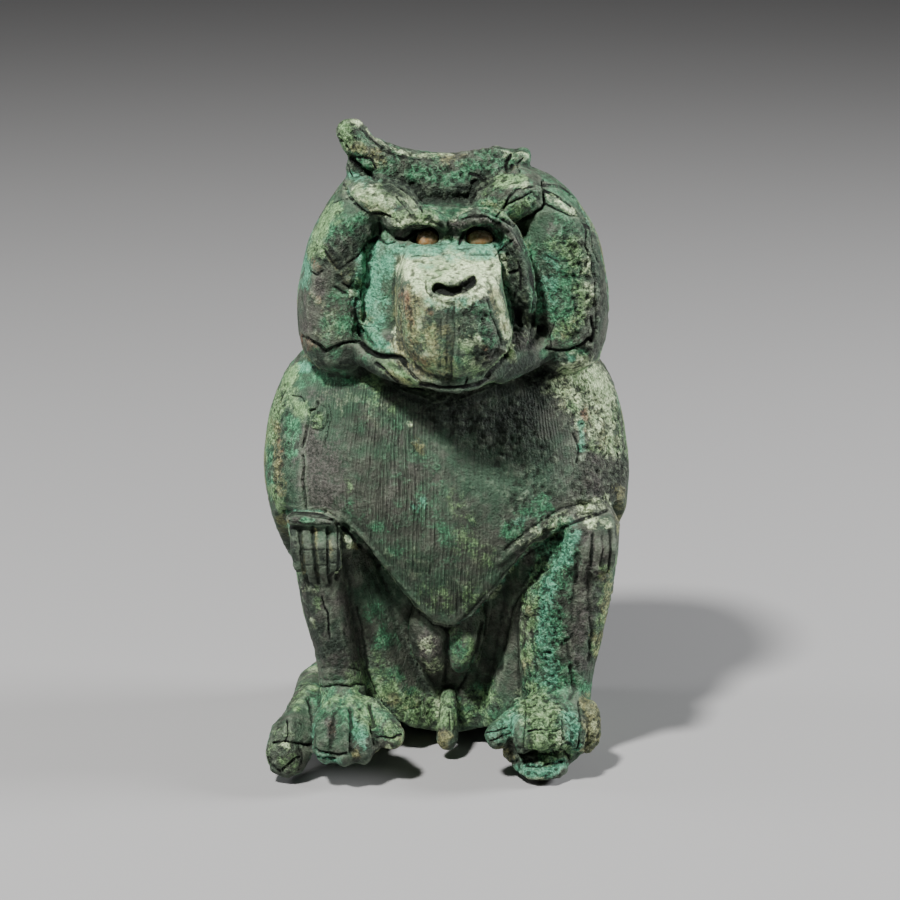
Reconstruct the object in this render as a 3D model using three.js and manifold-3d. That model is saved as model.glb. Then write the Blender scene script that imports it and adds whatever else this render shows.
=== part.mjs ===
// A cast bronze figure of a squatting baboon, an old Egyptian votive, with a broken crescent on its head
// and two inlaid stone eyes. Units are millimetres. +Z is up and the figure faces -Y, so +X is its own left.
import * as THREE from "three";
import { mergeVertices } from "three/addons/utils/BufferGeometryUtils.js";
import Module from "manifold-3d";

const wasm = await Module();
wasm.setup();

// Driving dimensions.
const HEIGHT = 210; // floor to the tip of the crescent's horn
const EYE_WIDTH = 9.4; // each inlay, across
const EYE_HEIGHT = 7.6;
const EYE_DEPTH = 7;
const INLAY_GAP = 0.3; // between an inlay and the wall of its socket
const BRONZE = { color: 0x45604f, roughness: 0.85, metalness: 0.15 };
const EYE_STONE = { color: 0x8a5a34, roughness: 0.25, metalness: 0 };

// The carving is drawn on a figure 210 high, and every place and thickness in it is a share of the height.
const DRAWN_HEIGHT = 210;
const SHARE = HEIGHT / DRAWN_HEIGHT;
const ACROSS = new THREE.Vector3(1, 0, 0);
const BACKWARD = new THREE.Vector3(0, 1, 0);
const DOWN = new THREE.Vector3(0, 0, -1);
const { smoothstep, lerp } = THREE.MathUtils;

// A closed solid from a sphere's grid. Each vertex moves to place(angle round it, share of the way down).
function skin(around, along, place) {
  const geometry = new THREE.SphereGeometry(1, around, along);
  const { position } = geometry.attributes;
  for (let i = 0; i < position.count; i++) {
    const angle = ((i % (around + 1)) / around) * 2 * Math.PI;
    const down = Math.floor(i / (around + 1)) / along;
    position.setXYZ(i, ...place(angle, down).multiplyScalar(SHARE).toArray());
  }
  return solid(geometry);
}

// A closed three.js geometry as a solid that can be joined and cut.
function solid(geometry) {
  geometry.deleteAttribute("normal");
  geometry.deleteAttribute("uv");
  const merged = mergeVertices(geometry);
  const vertProperties = new Float32Array(merged.attributes.position.array);
  const triVerts = new Uint32Array(merged.index.array);
  return new wasm.Manifold(new wasm.Mesh({ numProp: 3, vertProperties, triVerts }));
}

// A smooth curve through points of [x, y, z].
function curve(points) {
  return new THREE.CatmullRomCurve3(points.map((point) => new THREE.Vector3(...point)), false, "catmullrom");
}

// How wide an end that is rounded over `span` of the length has grown, `share` of the length from its tip.
function roundedEnd(share, span) {
  return Math.sqrt(1 - (1 - Math.min(1, share / span)) ** 2);
}

// A limb: rings along stations of [x, y, z, half width, half depth], rounded over a share of each end.
// `side` is the direction of the half width, and `square` makes the rings boxier above 2. With `level`, the
// rings lie flat whatever way the stations lean.
function limb(stations, options) {
  const { around = 12, along = 10, ends = [0.3, 0.3], side = ACROSS, square = 2, level = false } = options;
  const middles = curve(stations.map(([x, y, z]) => [x, y, z]));
  const halves = curve(stations.map(([, , , halfWidth, halfDepth]) => [halfWidth, halfDepth, 0]));
  return skin(around, along, (angle, down) => {
    const t = (1 - Math.cos(down * Math.PI)) / 2;
    const grown = roundedEnd(t, ends[0]) * roundedEnd(1 - t, ends[1]);
    const course = level ? DOWN : middles.getTangent(t);
    const width = side.clone().addScaledVector(course, -side.dot(course)).normalize();
    const depth = new THREE.Vector3().crossVectors(width, course);
    const half = halves.getPoint(t).multiplyScalar(grown);
    const [c, s] = [Math.cos(angle), Math.sin(angle)];
    const reach = (Math.abs(c) ** square + Math.abs(s) ** square) ** (-1 / square);
    const middle = middles.getPoint(t);
    return middle.addScaledVector(width, -half.x * reach * c).addScaledVector(depth, -half.y * reach * s);
  });
}

// A body of level rings from rows of [z, left, right, front, back, squareness], top row first.
function stack(rows, { around, along, ends = [0.1, 0.1], shape = (point) => point }) {
  const edges = curve(rows.map(([, left, right, front]) => [left, right, front]));
  const rest = curve(rows.map(([z, , , , back, square]) => [z, back, square]));
  return skin(around, along, (angle, down) => {
    const t = (1 - Math.cos(down * Math.PI)) / 2;
    const grown = roundedEnd(t, ends[0]) * roundedEnd(1 - t, ends[1]);
    const { x: left, y: right, z: front } = edges.getPoint(t);
    const { x: z, y: back, z: square } = rest.getPoint(t);
    const [c, s] = [Math.cos(angle), Math.sin(angle)];
    const reach = grown * (Math.abs(c) ** square + Math.abs(s) ** square) ** (-1 / square);
    const x = (left + right) / 2 - ((right - left) / 2) * reach * c;
    const y = (front + back) / 2 - ((back - front) / 2) * reach * s;
    return shape(new THREE.Vector3(x, y, z));
  });
}

// An ellipsoid with its own turn about the axis through it.
function lump([x, y, z], [a, b, c], { around = 16, along = 10, turn = [0, 0, 0] } = {}) {
  const attitude = new THREE.Euler(...turn.map(THREE.MathUtils.degToRad));
  return skin(around, along, (angle, down) => {
    const fall = down * Math.PI;
    const ring = Math.sin(fall);
    const [across, deep] = [-a * ring * Math.cos(angle), -b * ring * Math.sin(angle)];
    const point = new THREE.Vector3(across, deep, c * Math.cos(fall));
    return point.applyEuler(attitude).add(new THREE.Vector3(x, y, z));
  });
}

// A block whose top is the surface z = height(x, y), to cut away all below it. Its rows stand at `rowPlaces`.
function underCutter(halfWidth, halfDepth, floor, height, rowPlaces = null) {
  const [columns, rows] = [22, 6];
  const geometry = new THREE.BoxGeometry(2 * halfWidth, 2 * halfDepth, 2, columns, rows, 1);
  const { position } = geometry.attributes;
  for (let i = 0; i < position.count; i++) {
    const row = Math.round(((position.getY(i) + halfDepth) / (2 * halfDepth)) * rows);
    const [x, y] = [position.getX(i), rowPlaces ? rowPlaces[row] : position.getY(i)];
    const z = position.getZ(i) > 0 ? height(x, y) : floor;
    position.setXYZ(i, x * SHARE, y * SHARE, z * SHARE);
  }
  return solid(geometry);
}

// The mane's hem: a V over the belly, level over the hands, and falling towards the back along the flanks.
const HEM = { tipX: -1.2, tip: 46.7, span: 40, rise: 39.5, back: 40 };
function hemHeight(x, y) {
  const front = HEM.tip + HEM.rise * smoothstep(Math.abs(x - HEM.tipX), 0, HEM.span);
  const flank = lerp(HEM.tip + HEM.rise, HEM.back, smoothstep(y, -30, 42));
  return lerp(front, flank, smoothstep(y, -26, -12));
}

// The hem hangs lower on its way to the left knee.
const LEFT_HEM = [
  [24.5, -33.9, 75.6, 2.4],
  [30.5, -33.7, 79.2, 2.7],
  [36, -33.4, 82.4, 2.7],
  [41, -33, 85.2, 2.4],
];

// The mane over the shoulders, arms, chest and back, down to its hem.
function mane() {
  const bulk = stack(
    [
      [143, -22, 24, -14, 32, 2],
      [134, -42, 44, -22, 38, 2.1],
      [126, -52, 53.5, -28.5, 43, 2.3],
      [114, -57.5, 58.4, -33.5, 47, 2.6],
      [100, -60.2, 60.8, -37, 49, 3],
      [86, -60.8, 61.4, -39.5, 49.5, 3.3],
      [74, -57.5, 58.8, -38, 48.5, 3],
      [60, -53, 54, -34.5, 47, 2.7],
      [46, -49, 50, -32, 45, 2.5],
      [34, -45, 46, -29, 43, 2.4],
    ],
    { around: 32, along: 12, ends: [0.06, 0.08] },
  );
  const cutter = underCutter(66, 60, -20, hemHeight, [-60, -27, -21, -12, 8, 40, 60]);
  return bulk.subtract(cutter).add(rod(LEFT_HEM, { around: 5, along: 4 }));
}

// Each haunch, from the knee to the rump. It fills the space under the mane.
const RIGHT_HAUNCH = [
  [90, -52, -24, -33, 22, 2.4],
  [78, -51, -25, -32.6, 26, 2.5],
  [66, -49.8, -24, -31.4, 30, 2.6],
  [56, -47.5, -20, -29.4, 36, 2.7],
  [46, -45, -15, -27.6, 40, 2.7],
  [37, -42.5, -12, -27, 42, 2.7],
  [28, -40.5, -8.5, -26.4, 43, 2.7],
  [20, -39, -4, -26, 43, 2.7],
  [8, -38, 0, -25, 42, 2.7],
  [-3, -36, 2, -23, 40, 2.7],
];
const LEFT_HAUNCH = [
  [90, 20, 53.5, -33, 22, 2.4],
  [78, 18, 53, -32.6, 26, 2.5],
  [66, 15.4, 52, -31.6, 30, 2.6],
  [58, 14.6, 50.5, -30.4, 35, 2.7],
  [49, 14, 48.5, -28.8, 39, 2.7],
  [40, 12.8, 46.5, -27.6, 42, 2.7],
  [31, 11.4, 44, -26.6, 43, 2.7],
  [21, 9, 42, -26, 43, 2.7],
  [9, 4, 40.5, -25, 42, 2.7],
  [-3, -2, 38, -23, 40, 2.7],
];

// Belly, haunches and rump under the mane. The belly hangs clear of the floor in front; the rump sits on it.
function hips() {
  const trunk = stack(
    [
      [92, -38, 38, -26, 40, 2.4],
      [60, -38, 40, -24.5, 43, 2.4],
      [44, -34, 36, -21, 44, 2.4],
      [28, -30, 32, -18.6, 44.5, 2.4],
      [12, -28, 30, -20.5, 44, 2.4],
      [-3, -26, 28, -18, 42, 2.4],
    ],
    { around: 12, along: 5, ends: [0.05, 0.03] },
  );
  const bellyLift = (x, y) => lerp(Math.min(5 + 0.019 * (x - 1) ** 2, 19), 0, smoothstep(y, -14, 8));
  const haunch = (rows) => stack(rows, { around: 13, along: 8, ends: [0.12, 0.03] });
  const rump = underCutter(66, 60, -20, bellyLift);
  return trunk.add(haunch(RIGHT_HAUNCH)).add(haunch(LEFT_HAUNCH)).subtract(rump);
}

// A shin from the knee down to the ankle, from rows of [z, outer x, inner x, front y, half depth].
function shin(rows) {
  const stations = rows.map(([z, outer, inner, front, deep]) => {
    const [middle, half] = [(outer + inner) / 2, Math.abs(outer - inner) / 2];
    return [middle, front + deep, z, half, deep];
  });
  return limb(stations, { around: 12, along: 9, ends: [0.14, 0.1], square: 2.5, level: true });
}

const RIGHT_SHIN = [
  [88, -53, -35.5, -36, 10],
  [80, -53.8, -35.2, -40, 12],
  [67, -51.4, -35, -40, 12],
  [50, -49, -32.6, -39.5, 11.5],
  [38, -45.4, -30.4, -38.8, 10.5],
  [29, -44, -28.2, -38.5, 10],
  [18, -43.6, -28, -38, 10],
  [9, -42, -29, -35, 9],
];
const LEFT_SHIN = [
  [88, 55, 38, -36, 10],
  [80, 55.4, 35.5, -40, 12],
  [70, 54.6, 32, -40.5, 12.5],
  [62, 53.8, 25.5, -40.5, 13],
  [50, 52.6, 22.8, -40.5, 13],
  [38, 49.4, 22.4, -40, 12],
  [29, 47, 22.6, -39.5, 11.5],
  [18, 46.5, 23, -39, 11.5],
  [7, 44, 25, -36, 10],
];

// Fingers, brows and the like: a rounded rod through points of [x, y, z, radius].
function rod(points, { around = 7, along = 6, ends = [0.2, 0.2], side = ACROSS } = {}) {
  return limb(points.map(([x, y, z, r]) => [x, y, z, r, r]), { around, along, ends, side });
}

// A hand laid over the knee: a row of fingers of [x, radius, how far below `tip` it ends].
function hand(fingers, top, knuckle, tip) {
  return fingers.map(([x, radius, drop]) =>
    rod(
      [
        [x, -31, top, radius * 1.1],
        [x, -38.8, top - 2, radius * 1.1],
        [x, -41.2, knuckle, radius],
        [x * 0.99, -41.6, (knuckle + tip - drop) / 2, radius],
        [x * 0.985, -40.2, tip - drop, radius * 0.8],
      ],
      { around: 6, along: 4 },
    ),
  );
}

const RIGHT_FINGERS = [
  [-50.8, 2.3, 0],
  [-46.8, 2.4, 1.6],
  [-42.4, 2.5, 2.2],
  [-38.6, 2.1, 0],
];
const LEFT_FINGERS = [
  [50.4, 2.3, 0],
  [46.2, 2.4, 1.6],
  [41.9, 2.5, 1.8],
  [37.8, 2.1, 0],
];

// The cuff over the right wrist: a flat band under the mane's hem.
function cuff() {
  return limb(
    [
      [-54.4, -37, 86.2, 3, 2],
      [-50, -38.4, 86.4, 3.2, 2.2],
      [-42, -39.2, 86.4, 3.2, 2.2],
      [-37.6, -38.4, 85.6, 3, 2],
    ],
    { around: 8, along: 4, ends: [0.15, 0.15], side: BACKWARD, square: 3 },
  );
}

// A foot: a long instep back to the heel, a row of blunt toes of [x, half width, top z, reach, sole z], and
// the great toe spread inwards, of points [x, y, z, radius].
function foot({ heel, instep, toes, great }) {
  return [
    limb(instep, { around: 12, along: 7, ends: [0.25, 0.3], square: 2.5 }),
    limb(heel, { around: 7, along: 4, ends: [0.3, 0.3] }),
    ...toes.map(([x, half, top, reach, sole]) => {
      const [middle, tall] = [(top + sole) / 2, (top - sole) / 2];
      return limb(
        [
          [x * 0.98, -36, middle + 3.5, half, tall],
          [x, -45, middle + 2.6, half * 1.04, tall],
          [x, -52, middle + 0.8, half * 1.04, tall],
          [x, -reach, middle - 1.2, half * 0.9, tall * 0.82],
        ],
        { around: 8, along: 5, ends: [0.1, 0.26], square: 2.5 },
      );
    }),
    rod(great),
  ];
}

const RIGHT_FOOT = {
  heel: [
    [-37, -30, 15, 6.5, 8],
    [-35, -16, 12, 6, 7],
    [-33, -6, 10.5, 5, 5.5],
  ],
  instep: [
    [-36, -26, 20, 7.6, 10],
    [-36, -36, 18.5, 8, 10.5],
    [-36, -45, 15.5, 8.8, 9.6],
    [-36, -53, 13, 8.6, 6.6],
  ],
  toes: [
    [-42.6, 3.8, 20.5, 58, 6.4],
    [-36.4, 3.9, 21, 60, 5.8],
    [-30.4, 3.6, 20.5, 59, 6.2],
    [-27, 2.4, 17, 53.5, 9],
  ],
  great: [
    [-31, -37, 23, 5],
    [-26.6, -43, 21.4, 4.8],
    [-21.6, -49.5, 16.8, 4.9],
    [-18.2, -52.8, 13.6, 4.3],
  ],
};
const LEFT_FOOT = {
  heel: [
    [37, -30, 14, 7, 8],
    [35, -16, 12, 6.5, 7],
    [33, -6, 10.5, 5.5, 5.5],
  ],
  instep: [
    [35, -25, 18, 10.5, 12],
    [34, -36, 16.5, 11, 12.5],
    [32.5, -45, 13.5, 11, 11.5],
    [31, -53, 13.5, 10.5, 8],
  ],
  toes: [
    [21.4, 3.4, 21.5, 58, 8.6],
    [27, 3.8, 23, 60, 9.8],
    [32.8, 3.9, 23, 60, 9.8],
    [38.4, 3.6, 21, 57.5, 9],
  ],
  great: [
    [28, -37, 21, 5],
    [21.5, -43, 19.4, 4.8],
    [14.5, -48.8, 15.6, 4.9],
    [9.6, -51.4, 13.4, 4.3],
  ],
};

// The left foot's front is broken open: a plate of its sole is left under the toes, and the figure stands on
// it. Corrosion has grown into a thick crust on the foot's outer side.
function soleRemnant() {
  return [
    lump([28, -47.4, 4.2], [9.6, 11.6, 4.2], { around: 10, along: 5 }),
    lump([43.6, -43, 15.4], [4.6, 7, 9.2], { around: 10, along: 7 }),
    lump([18.4, -47, 8.4], [3.4, 4, 3.4], { around: 8, along: 5 }),
  ];
}
function soleHollow() {
  return lump([31, -61.5, 8.4], [6.8, 8, 2.5], { around: 10, along: 6, turn: [0, -6, 0] });
}

// The tail: from the rump round the figure's right flank to a thick tip beside the foot, on the floor.
function tail() {
  return limb(
    [
      [12, 34, 15, 6, 8],
      [-2, 43, 13, 6.4, 8],
      [-22, 44.5, 10, 6.8, 8],
      [-38, 33, 8.6, 7, 8],
      [-44.4, 14, 10, 7, 8],
      [-45.4, -4, 13.4, 7, 8.4],
      [-46.6, -19, 15.4, 7, 8.8],
      [-50, -33, 13.4, 7.2, 9.4],
      [-54.6, -45, 10.6, 8.2, 10.4],
      [-55.2, -53.5, 9.6, 7.4, 9.4],
    ],
    { around: 8, along: 13, ends: [0.1, 0.1], side: ACROSS },
  );
}

// Two lobes under the tip of the mane, and the peg between the feet.
function lobesAndPeg() {
  return [
    lump([-7.2, -22.5, 41], [6.9, 6.6, 13], { around: 9, along: 6, turn: [0, -6, 0] }),
    lump([4.9, -22.5, 41], [6.3, 6.4, 14.2], { around: 9, along: 6, turn: [0, 9, 0] }),
    rod([
      [-0.8, -19, 21, 3.2],
      [-0.9, -25, 16, 3.3],
      [-1.6, -29.5, 9, 4],
      [-2, -30.8, 3, 4.2],
    ]),
  ];
}

// The bolsters of hair beside the face, from rows of [z, left, right, front, back, squareness].
const RIGHT_BOLSTER = [
  [192, -32, -20.5, -14, 2, 2.2],
  [188.5, -35, -18.5, -21, 8, 2.4],
  [183, -38.6, -19.8, -26, 12, 2.8],
  [174, -43.8, -22.5, -28.6, 16, 3.2],
  [163, -47, -26.3, -29.2, 18, 3.4],
  [150, -49.1, -28, -29.2, 19, 3.4],
  [141, -49.1, -27, -28.8, 19, 3.2],
  [134, -47.4, -25, -27, 18, 2.9],
  [128.6, -42.5, -27, -23, 16, 2.5],
];
const LEFT_BOLSTER = [
  [193.5, 18.5, 31, -14, 2, 2.2],
  [190, 17.5, 35.5, -21, 8, 2.4],
  [184, 19.2, 42, -26, 12, 2.8],
  [175, 22.3, 47.8, -28.6, 16, 3.2],
  [165, 25.8, 50.8, -29.2, 18, 3.4],
  [152, 28, 52.7, -29.2, 19, 3.4],
  [141, 28.4, 52.2, -28.8, 19, 3.2],
  [132.6, 28, 50.2, -27, 18, 2.9],
  [127.4, 30, 46, -23, 16, 2.5],
];

// The underside of the head, from the foot of each bolster round to the jaw.
const RIGHT_JOWL = [
  [-39, -16, 137, 6.2],
  [-31, -22, 138.4, 5.4],
  [-24, -29.5, 137, 5.2],
  [-18, -37.5, 134.6, 5],
  [-10, -44, 132.6, 4.4],
];
const LEFT_JOWL = [
  [40, -15, 136, 6],
  [33, -20, 138.2, 5.2],
  [25, -28, 137.2, 5.2],
  [18.5, -36.5, 134.6, 4.8],
  [10, -43.5, 132.6, 4.2],
];

// The seams where the mane meets the face, down each cheek.
const RIGHT_SEAM = [
  [-28.9, -22.6, 173, 3],
  [-29.3, -22.6, 160, 3.4],
  [-29.3, -22.4, 145, 3.4],
];
const LEFT_SEAM = [
  [24.4, -21.4, 177, 3.2],
  [26.6, -22.4, 167, 3.4],
  [28, -21.4, 156, 3.6],
  [28.4, -21.6, 144, 3.6],
];

// The head inside its mane: crown and nape, the bolsters, a cap of hair over each temple, and the face.
function head() {
  const nape = stack(
    [
      [189.5, -18, 20, -6, 22, 2],
      [185, -30, 33, -12, 31, 2.1],
      [177, -38.5, 42.5, -16, 37.5, 2.3],
      [165, -44.5, 48, -18, 40.5, 2.5],
      [150, -47.5, 51, -18, 41.5, 2.6],
      [138, -46.5, 50, -18, 41, 2.5],
      [129.5, -40, 43.5, -14, 38.5, 2.3],
    ],
    { around: 13, along: 7, ends: [0.06, 0.05] },
  );
  const face = stack(
    [
      [185.5, -15, 14, -22, 8, 2.2],
      [181, -22, 20, -29, 8, 2.5],
      [176, -25, 22.5, -31.5, 8, 2.7],
      [168, -28.5, 26, -33.5, 8, 2.9],
      [156, -30.5, 28.5, -34.5, 8, 2.9],
      [145, -30, 28.5, -35, 8, 2.7],
      [138, -27, 26, -33.5, 8, 2.4],
      [132, -19, 19, -28, 8, 2.2],
    ],
    { around: 17, along: 7, ends: [0.06, 0.06] },
  );
  const bolster = (rows) => stack(rows, { around: 15, along: 9, ends: [0.06, 0.06] });
  return nape
    .add(bolster(RIGHT_BOLSTER))
    .add(bolster(LEFT_BOLSTER))
    .add(face)
    .add(lump([-21.2, -16.5, 185.4], [12.9, 12.8, 7.4], { around: 12, along: 7, turn: [6, 13, 8] }))
    .add(lump([19.4, -15.5, 186.6], [12.9, 13.6, 8.2], { around: 12, along: 7, turn: [6, -15, -8] }))
    .add(lump([-1.6, -11.5, 188.6], [10.5, 7.5, 4.6], { around: 8, along: 5 }))
    .add(rod(RIGHT_JOWL, { around: 8, along: 5 }))
    .add(rod(LEFT_JOWL, { around: 8, along: 5 }))
    .add(rod(RIGHT_SEAM, { around: 5, along: 3 }))
    .add(rod(LEFT_SEAM, { around: 5, along: 4 }));
}

// The muzzle: a flat bridge that slopes out to the nostrils, a broad flat end, and the jaw behind the mouth.
function muzzle() {
  const block = stack(
    [
      [174, -14.5, 13, -37.5, -20, 3.6],
      [171.5, -15.6, 14, -43.5, -20, 4.2],
      [168.5, -16.7, 14.8, -50.5, -20, 4.6],
      [165.5, -17.7, 15, -56.6, -20, 4.6],
      [162, -18.2, 14.8, -58.6, -20, 4.6],
      [156, -18.6, 16, -59.2, -20, 4.4],
      [149, -18.7, 18.2, -59.2, -20, 4],
      [143, -16.8, 17.2, -58.6, -20, 3.4],
      [138.5, -13, 12.8, -57.2, -20, 2.8],
      [134.8, -7, 6.6, -54.6, -20, 2.3],
    ],
    { around: 18, along: 11, ends: [0.02, 0.04] },
  );
  const jaw = stack(
    [
      [148, -29.5, 28, -37, -10, 2.4],
      [142, -26.5, 26.5, -46, -10, 2.3],
      [136.5, -22, 21.5, -52, -10, 2.2],
      [132, -17, 15.5, -54, -10, 2.1],
      [128.8, -9, 8, -50.5, -10, 2],
    ],
    { around: 15, along: 7, ends: [0.05, 0.08] },
  );
  const nostrils = limb(
    [
      [-10.2, -54.2, 167.4, 1.4, 1.2],
      [-6.3, -57, 165.4, 2.6, 1.9],
      [-1, -58.6, 163.8, 3, 2],
      [4.2, -56.8, 166, 2.6, 1.9],
      [6.8, -54, 168.2, 1.4, 1.2],
    ],
    { around: 6, along: 7, ends: [0.15, 0.15], side: BACKWARD },
  );
  return block.add(jaw).subtract(nostrils);
}

// The brows: thick ridges that arch over the eyes. The left one runs on down the cheek to the mouth.
const RIGHT_BROW = [
  [-21, -26, 178.5, 2.4],
  [-17.8, -29.8, 181.6, 2.8],
  [-12.5, -31.8, 183.4, 2.9],
  [-7.5, -32.6, 183.2, 2.9],
  [-3.6, -32.8, 181.2, 2.7],
  [-1.6, -32.2, 178, 2.2],
];
const LEFT_BROW = [
  [1.6, -32.2, 178, 2.2],
  [3.8, -32.8, 181.4, 2.7],
  [8.6, -32.6, 183.5, 2.9],
  [14, -31, 182, 3],
  [18.4, -29.4, 177.4, 3.2],
  [21.2, -30, 170, 3.4],
  [23.6, -31.2, 160, 3.5],
  [25, -31.6, 150, 3.2],
];
const LOWER_LIDS = [
  [
    [-15, -29.8, 174.4, 1.2],
    [-9, -32.6, 173, 1.5],
    [-3.4, -33, 173.2, 1.3],
  ],
  [
    [3.4, -33, 173.2, 1.3],
    [9, -32.4, 173, 1.5],
    [15, -29.4, 174.4, 1.2],
  ],
];

// The broken crescent on the crown: one whole horn, and the stump of the other.
function crescent() {
  const boat = limb(
    [
      [-31.6, -3.6, 210, 4.2, 4.8],
      [-30.4, -3.8, 204.5, 4.9, 5.2],
      [-26.4, -4.6, 198.8, 6, 5.8],
      [-19, -5.4, 196, 7, 6.4],
      [-11, -6.2, 193, 8, 7.2],
      [-2, -6.6, 191.2, 8.6, 8.2],
      [7.5, -6.2, 192.4, 8, 7.2],
      [15, -5.4, 195.2, 6.2, 5.2],
      [22, -4.6, 196.2, 4.4, 3.4],
      [27.4, -4, 195.6, 3.6, 2.8],
    ],
    { around: 10, along: 12, ends: [0.06, 0.05], side: BACKWARD },
  );
  return boat
    .add(lump([-30, -3.6, 193.4], [3, 4.2, 4.6], { around: 8, along: 6 }))
    .add(lump([15.6, -4.6, 198], [3.4, 3.6, 2.9], { around: 8, along: 6 }))
    .add(lump([24.6, -4.2, 197.2], [3.2, 3.4, 3], { around: 8, along: 6 }));
}

// An inlaid eye, larger by `clearance` all round to give its socket.
const EYE_PLACES = { right_eye: [-8.5, -29.1, 175.2], left_eye: [8.6, -29.1, 175.2] };
function eye(place, clearance) {
  const geometry = new THREE.SphereGeometry(1, 11, 6);
  geometry.scale(EYE_WIDTH / 2 + clearance, EYE_DEPTH / 2 + clearance, EYE_HEIGHT / 2 + clearance);
  geometry.translate(...place.map((value) => value * SHARE));
  return solid(geometry);
}

const casting = [
  mane(),
  hips(),
  shin(RIGHT_SHIN),
  shin(LEFT_SHIN),
  ...hand(RIGHT_FINGERS, 84.5, 77.5, 68),
  ...hand(LEFT_FINGERS, 83.5, 76, 66),
  cuff(),
  lump([-34.4, -30.6, 76.6], [4, 3.8, 5.4], { around: 7, along: 4 }),
  ...foot(RIGHT_FOOT),
  ...foot(LEFT_FOOT),
  ...soleRemnant(),
  tail(),
  ...lobesAndPeg(),
  head(),
  muzzle(),
  rod(RIGHT_BROW, { along: 8, ends: [0.15, 0.15], side: BACKWARD }),
  rod(LEFT_BROW, { along: 11, ends: [0.1, 0.15], side: BACKWARD }),
  ...LOWER_LIDS.map((points) => rod(points, { around: 5, along: 4, side: BACKWARD })),
  crescent(),
].reduce((joined, piece) => joined.add(piece));

const floor = underCutter(100, 100, -40, () => 0);
const hollowed = casting.subtract(soleHollow()).subtract(floor);
const sockets = Object.values(EYE_PLACES).map((place) => eye(place, INLAY_GAP));
const socketed = sockets.reduce((cut, socket) => cut.subtract(socket), hollowed);

// A named mesh of a solid.
function mesh(name, { numProp, vertProperties, triVerts }, look) {
  const geometry = new THREE.BufferGeometry();
  geometry.setAttribute("position", new THREE.BufferAttribute(vertProperties, numProp));
  geometry.setIndex(new THREE.BufferAttribute(triVerts, 1));
  geometry.computeVertexNormals();
  const made = new THREE.Mesh(geometry, new THREE.MeshStandardMaterial(look));
  made.name = name;
  return made;
}

const group = new THREE.Group();
group.add(mesh("figure", socketed.getMesh(), BRONZE));
for (const [name, place] of Object.entries(EYE_PLACES)) {
  group.add(mesh(name, eye(place, 0).getMesh(), EYE_STONE));
}

// The origin is on the floor, under the middle of the figure's box.
const box = new THREE.Box3().setFromObject(group);
const middle = box.getCenter(new THREE.Vector3());
group.position.set(-middle.x, -middle.y, -box.min.z);

export default group;
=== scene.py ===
"""A corroded bronze figure of a squatting baboon, with a broken crescent on its head and inlaid stone eyes.

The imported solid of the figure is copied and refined, and the copy is carved with what is too fine for a
solid: hair lines, cracks, knuckles, pits and crusts. Sizes are millimetres, and a name that ends in _m is
metres. A mark on the front is placed by pixels of the 900 x 900 photograph, seen through its camera.
"""

import itertools
import logging
import math
import time
from collections.abc import Iterable
from dataclasses import dataclass, field
from enum import Enum

import bmesh
import bpy
import numpy as np
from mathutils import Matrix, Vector


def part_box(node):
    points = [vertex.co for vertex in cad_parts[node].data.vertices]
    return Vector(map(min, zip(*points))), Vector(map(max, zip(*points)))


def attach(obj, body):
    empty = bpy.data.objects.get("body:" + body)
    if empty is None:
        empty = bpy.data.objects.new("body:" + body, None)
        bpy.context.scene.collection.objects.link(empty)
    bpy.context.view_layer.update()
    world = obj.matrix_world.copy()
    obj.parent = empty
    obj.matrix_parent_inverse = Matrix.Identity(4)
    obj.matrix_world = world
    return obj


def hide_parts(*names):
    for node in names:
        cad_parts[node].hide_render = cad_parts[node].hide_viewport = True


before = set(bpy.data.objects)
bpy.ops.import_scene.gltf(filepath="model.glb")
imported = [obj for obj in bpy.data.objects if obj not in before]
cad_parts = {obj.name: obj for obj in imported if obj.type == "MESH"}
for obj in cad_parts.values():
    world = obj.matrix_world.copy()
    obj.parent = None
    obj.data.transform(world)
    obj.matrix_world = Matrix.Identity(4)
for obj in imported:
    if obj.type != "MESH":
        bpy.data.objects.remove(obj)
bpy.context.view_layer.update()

MM = 0.001
LOG = logging.getLogger("baboon")

Array = np.ndarray
Path = tuple[tuple[float, float], ...]
Colour = tuple[float, float, float]
Span = tuple[float, float]
Socket = bpy.types.NodeSocket
Value = bpy.types.NodeSocket | float
Tone = bpy.types.NodeSocket | Colour


class Patina(Enum):
    """What has grown on the bronze, and the painted shade, each with its own mask on the surface."""

    UMBER = "umber"
    EMERALD = "emerald"
    TEAL = "teal"
    LIME = "lime"
    PALE = "pale"
    OCHRE = "ochre"
    RUST = "rust"
    # Dark green-black: a dark crust in places, and elsewhere painted shade, such as the head's shadow on the
    # chest and the shade under the jaw, bolsters and crescent.
    SOOT = "soot"
    CRUST = "crust"
    BARE = "bare"


UMBER, EMERALD, TEAL, LIME, PALE, OCHRE, RUST, SOOT, CRUST, BARE = Patina


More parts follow.
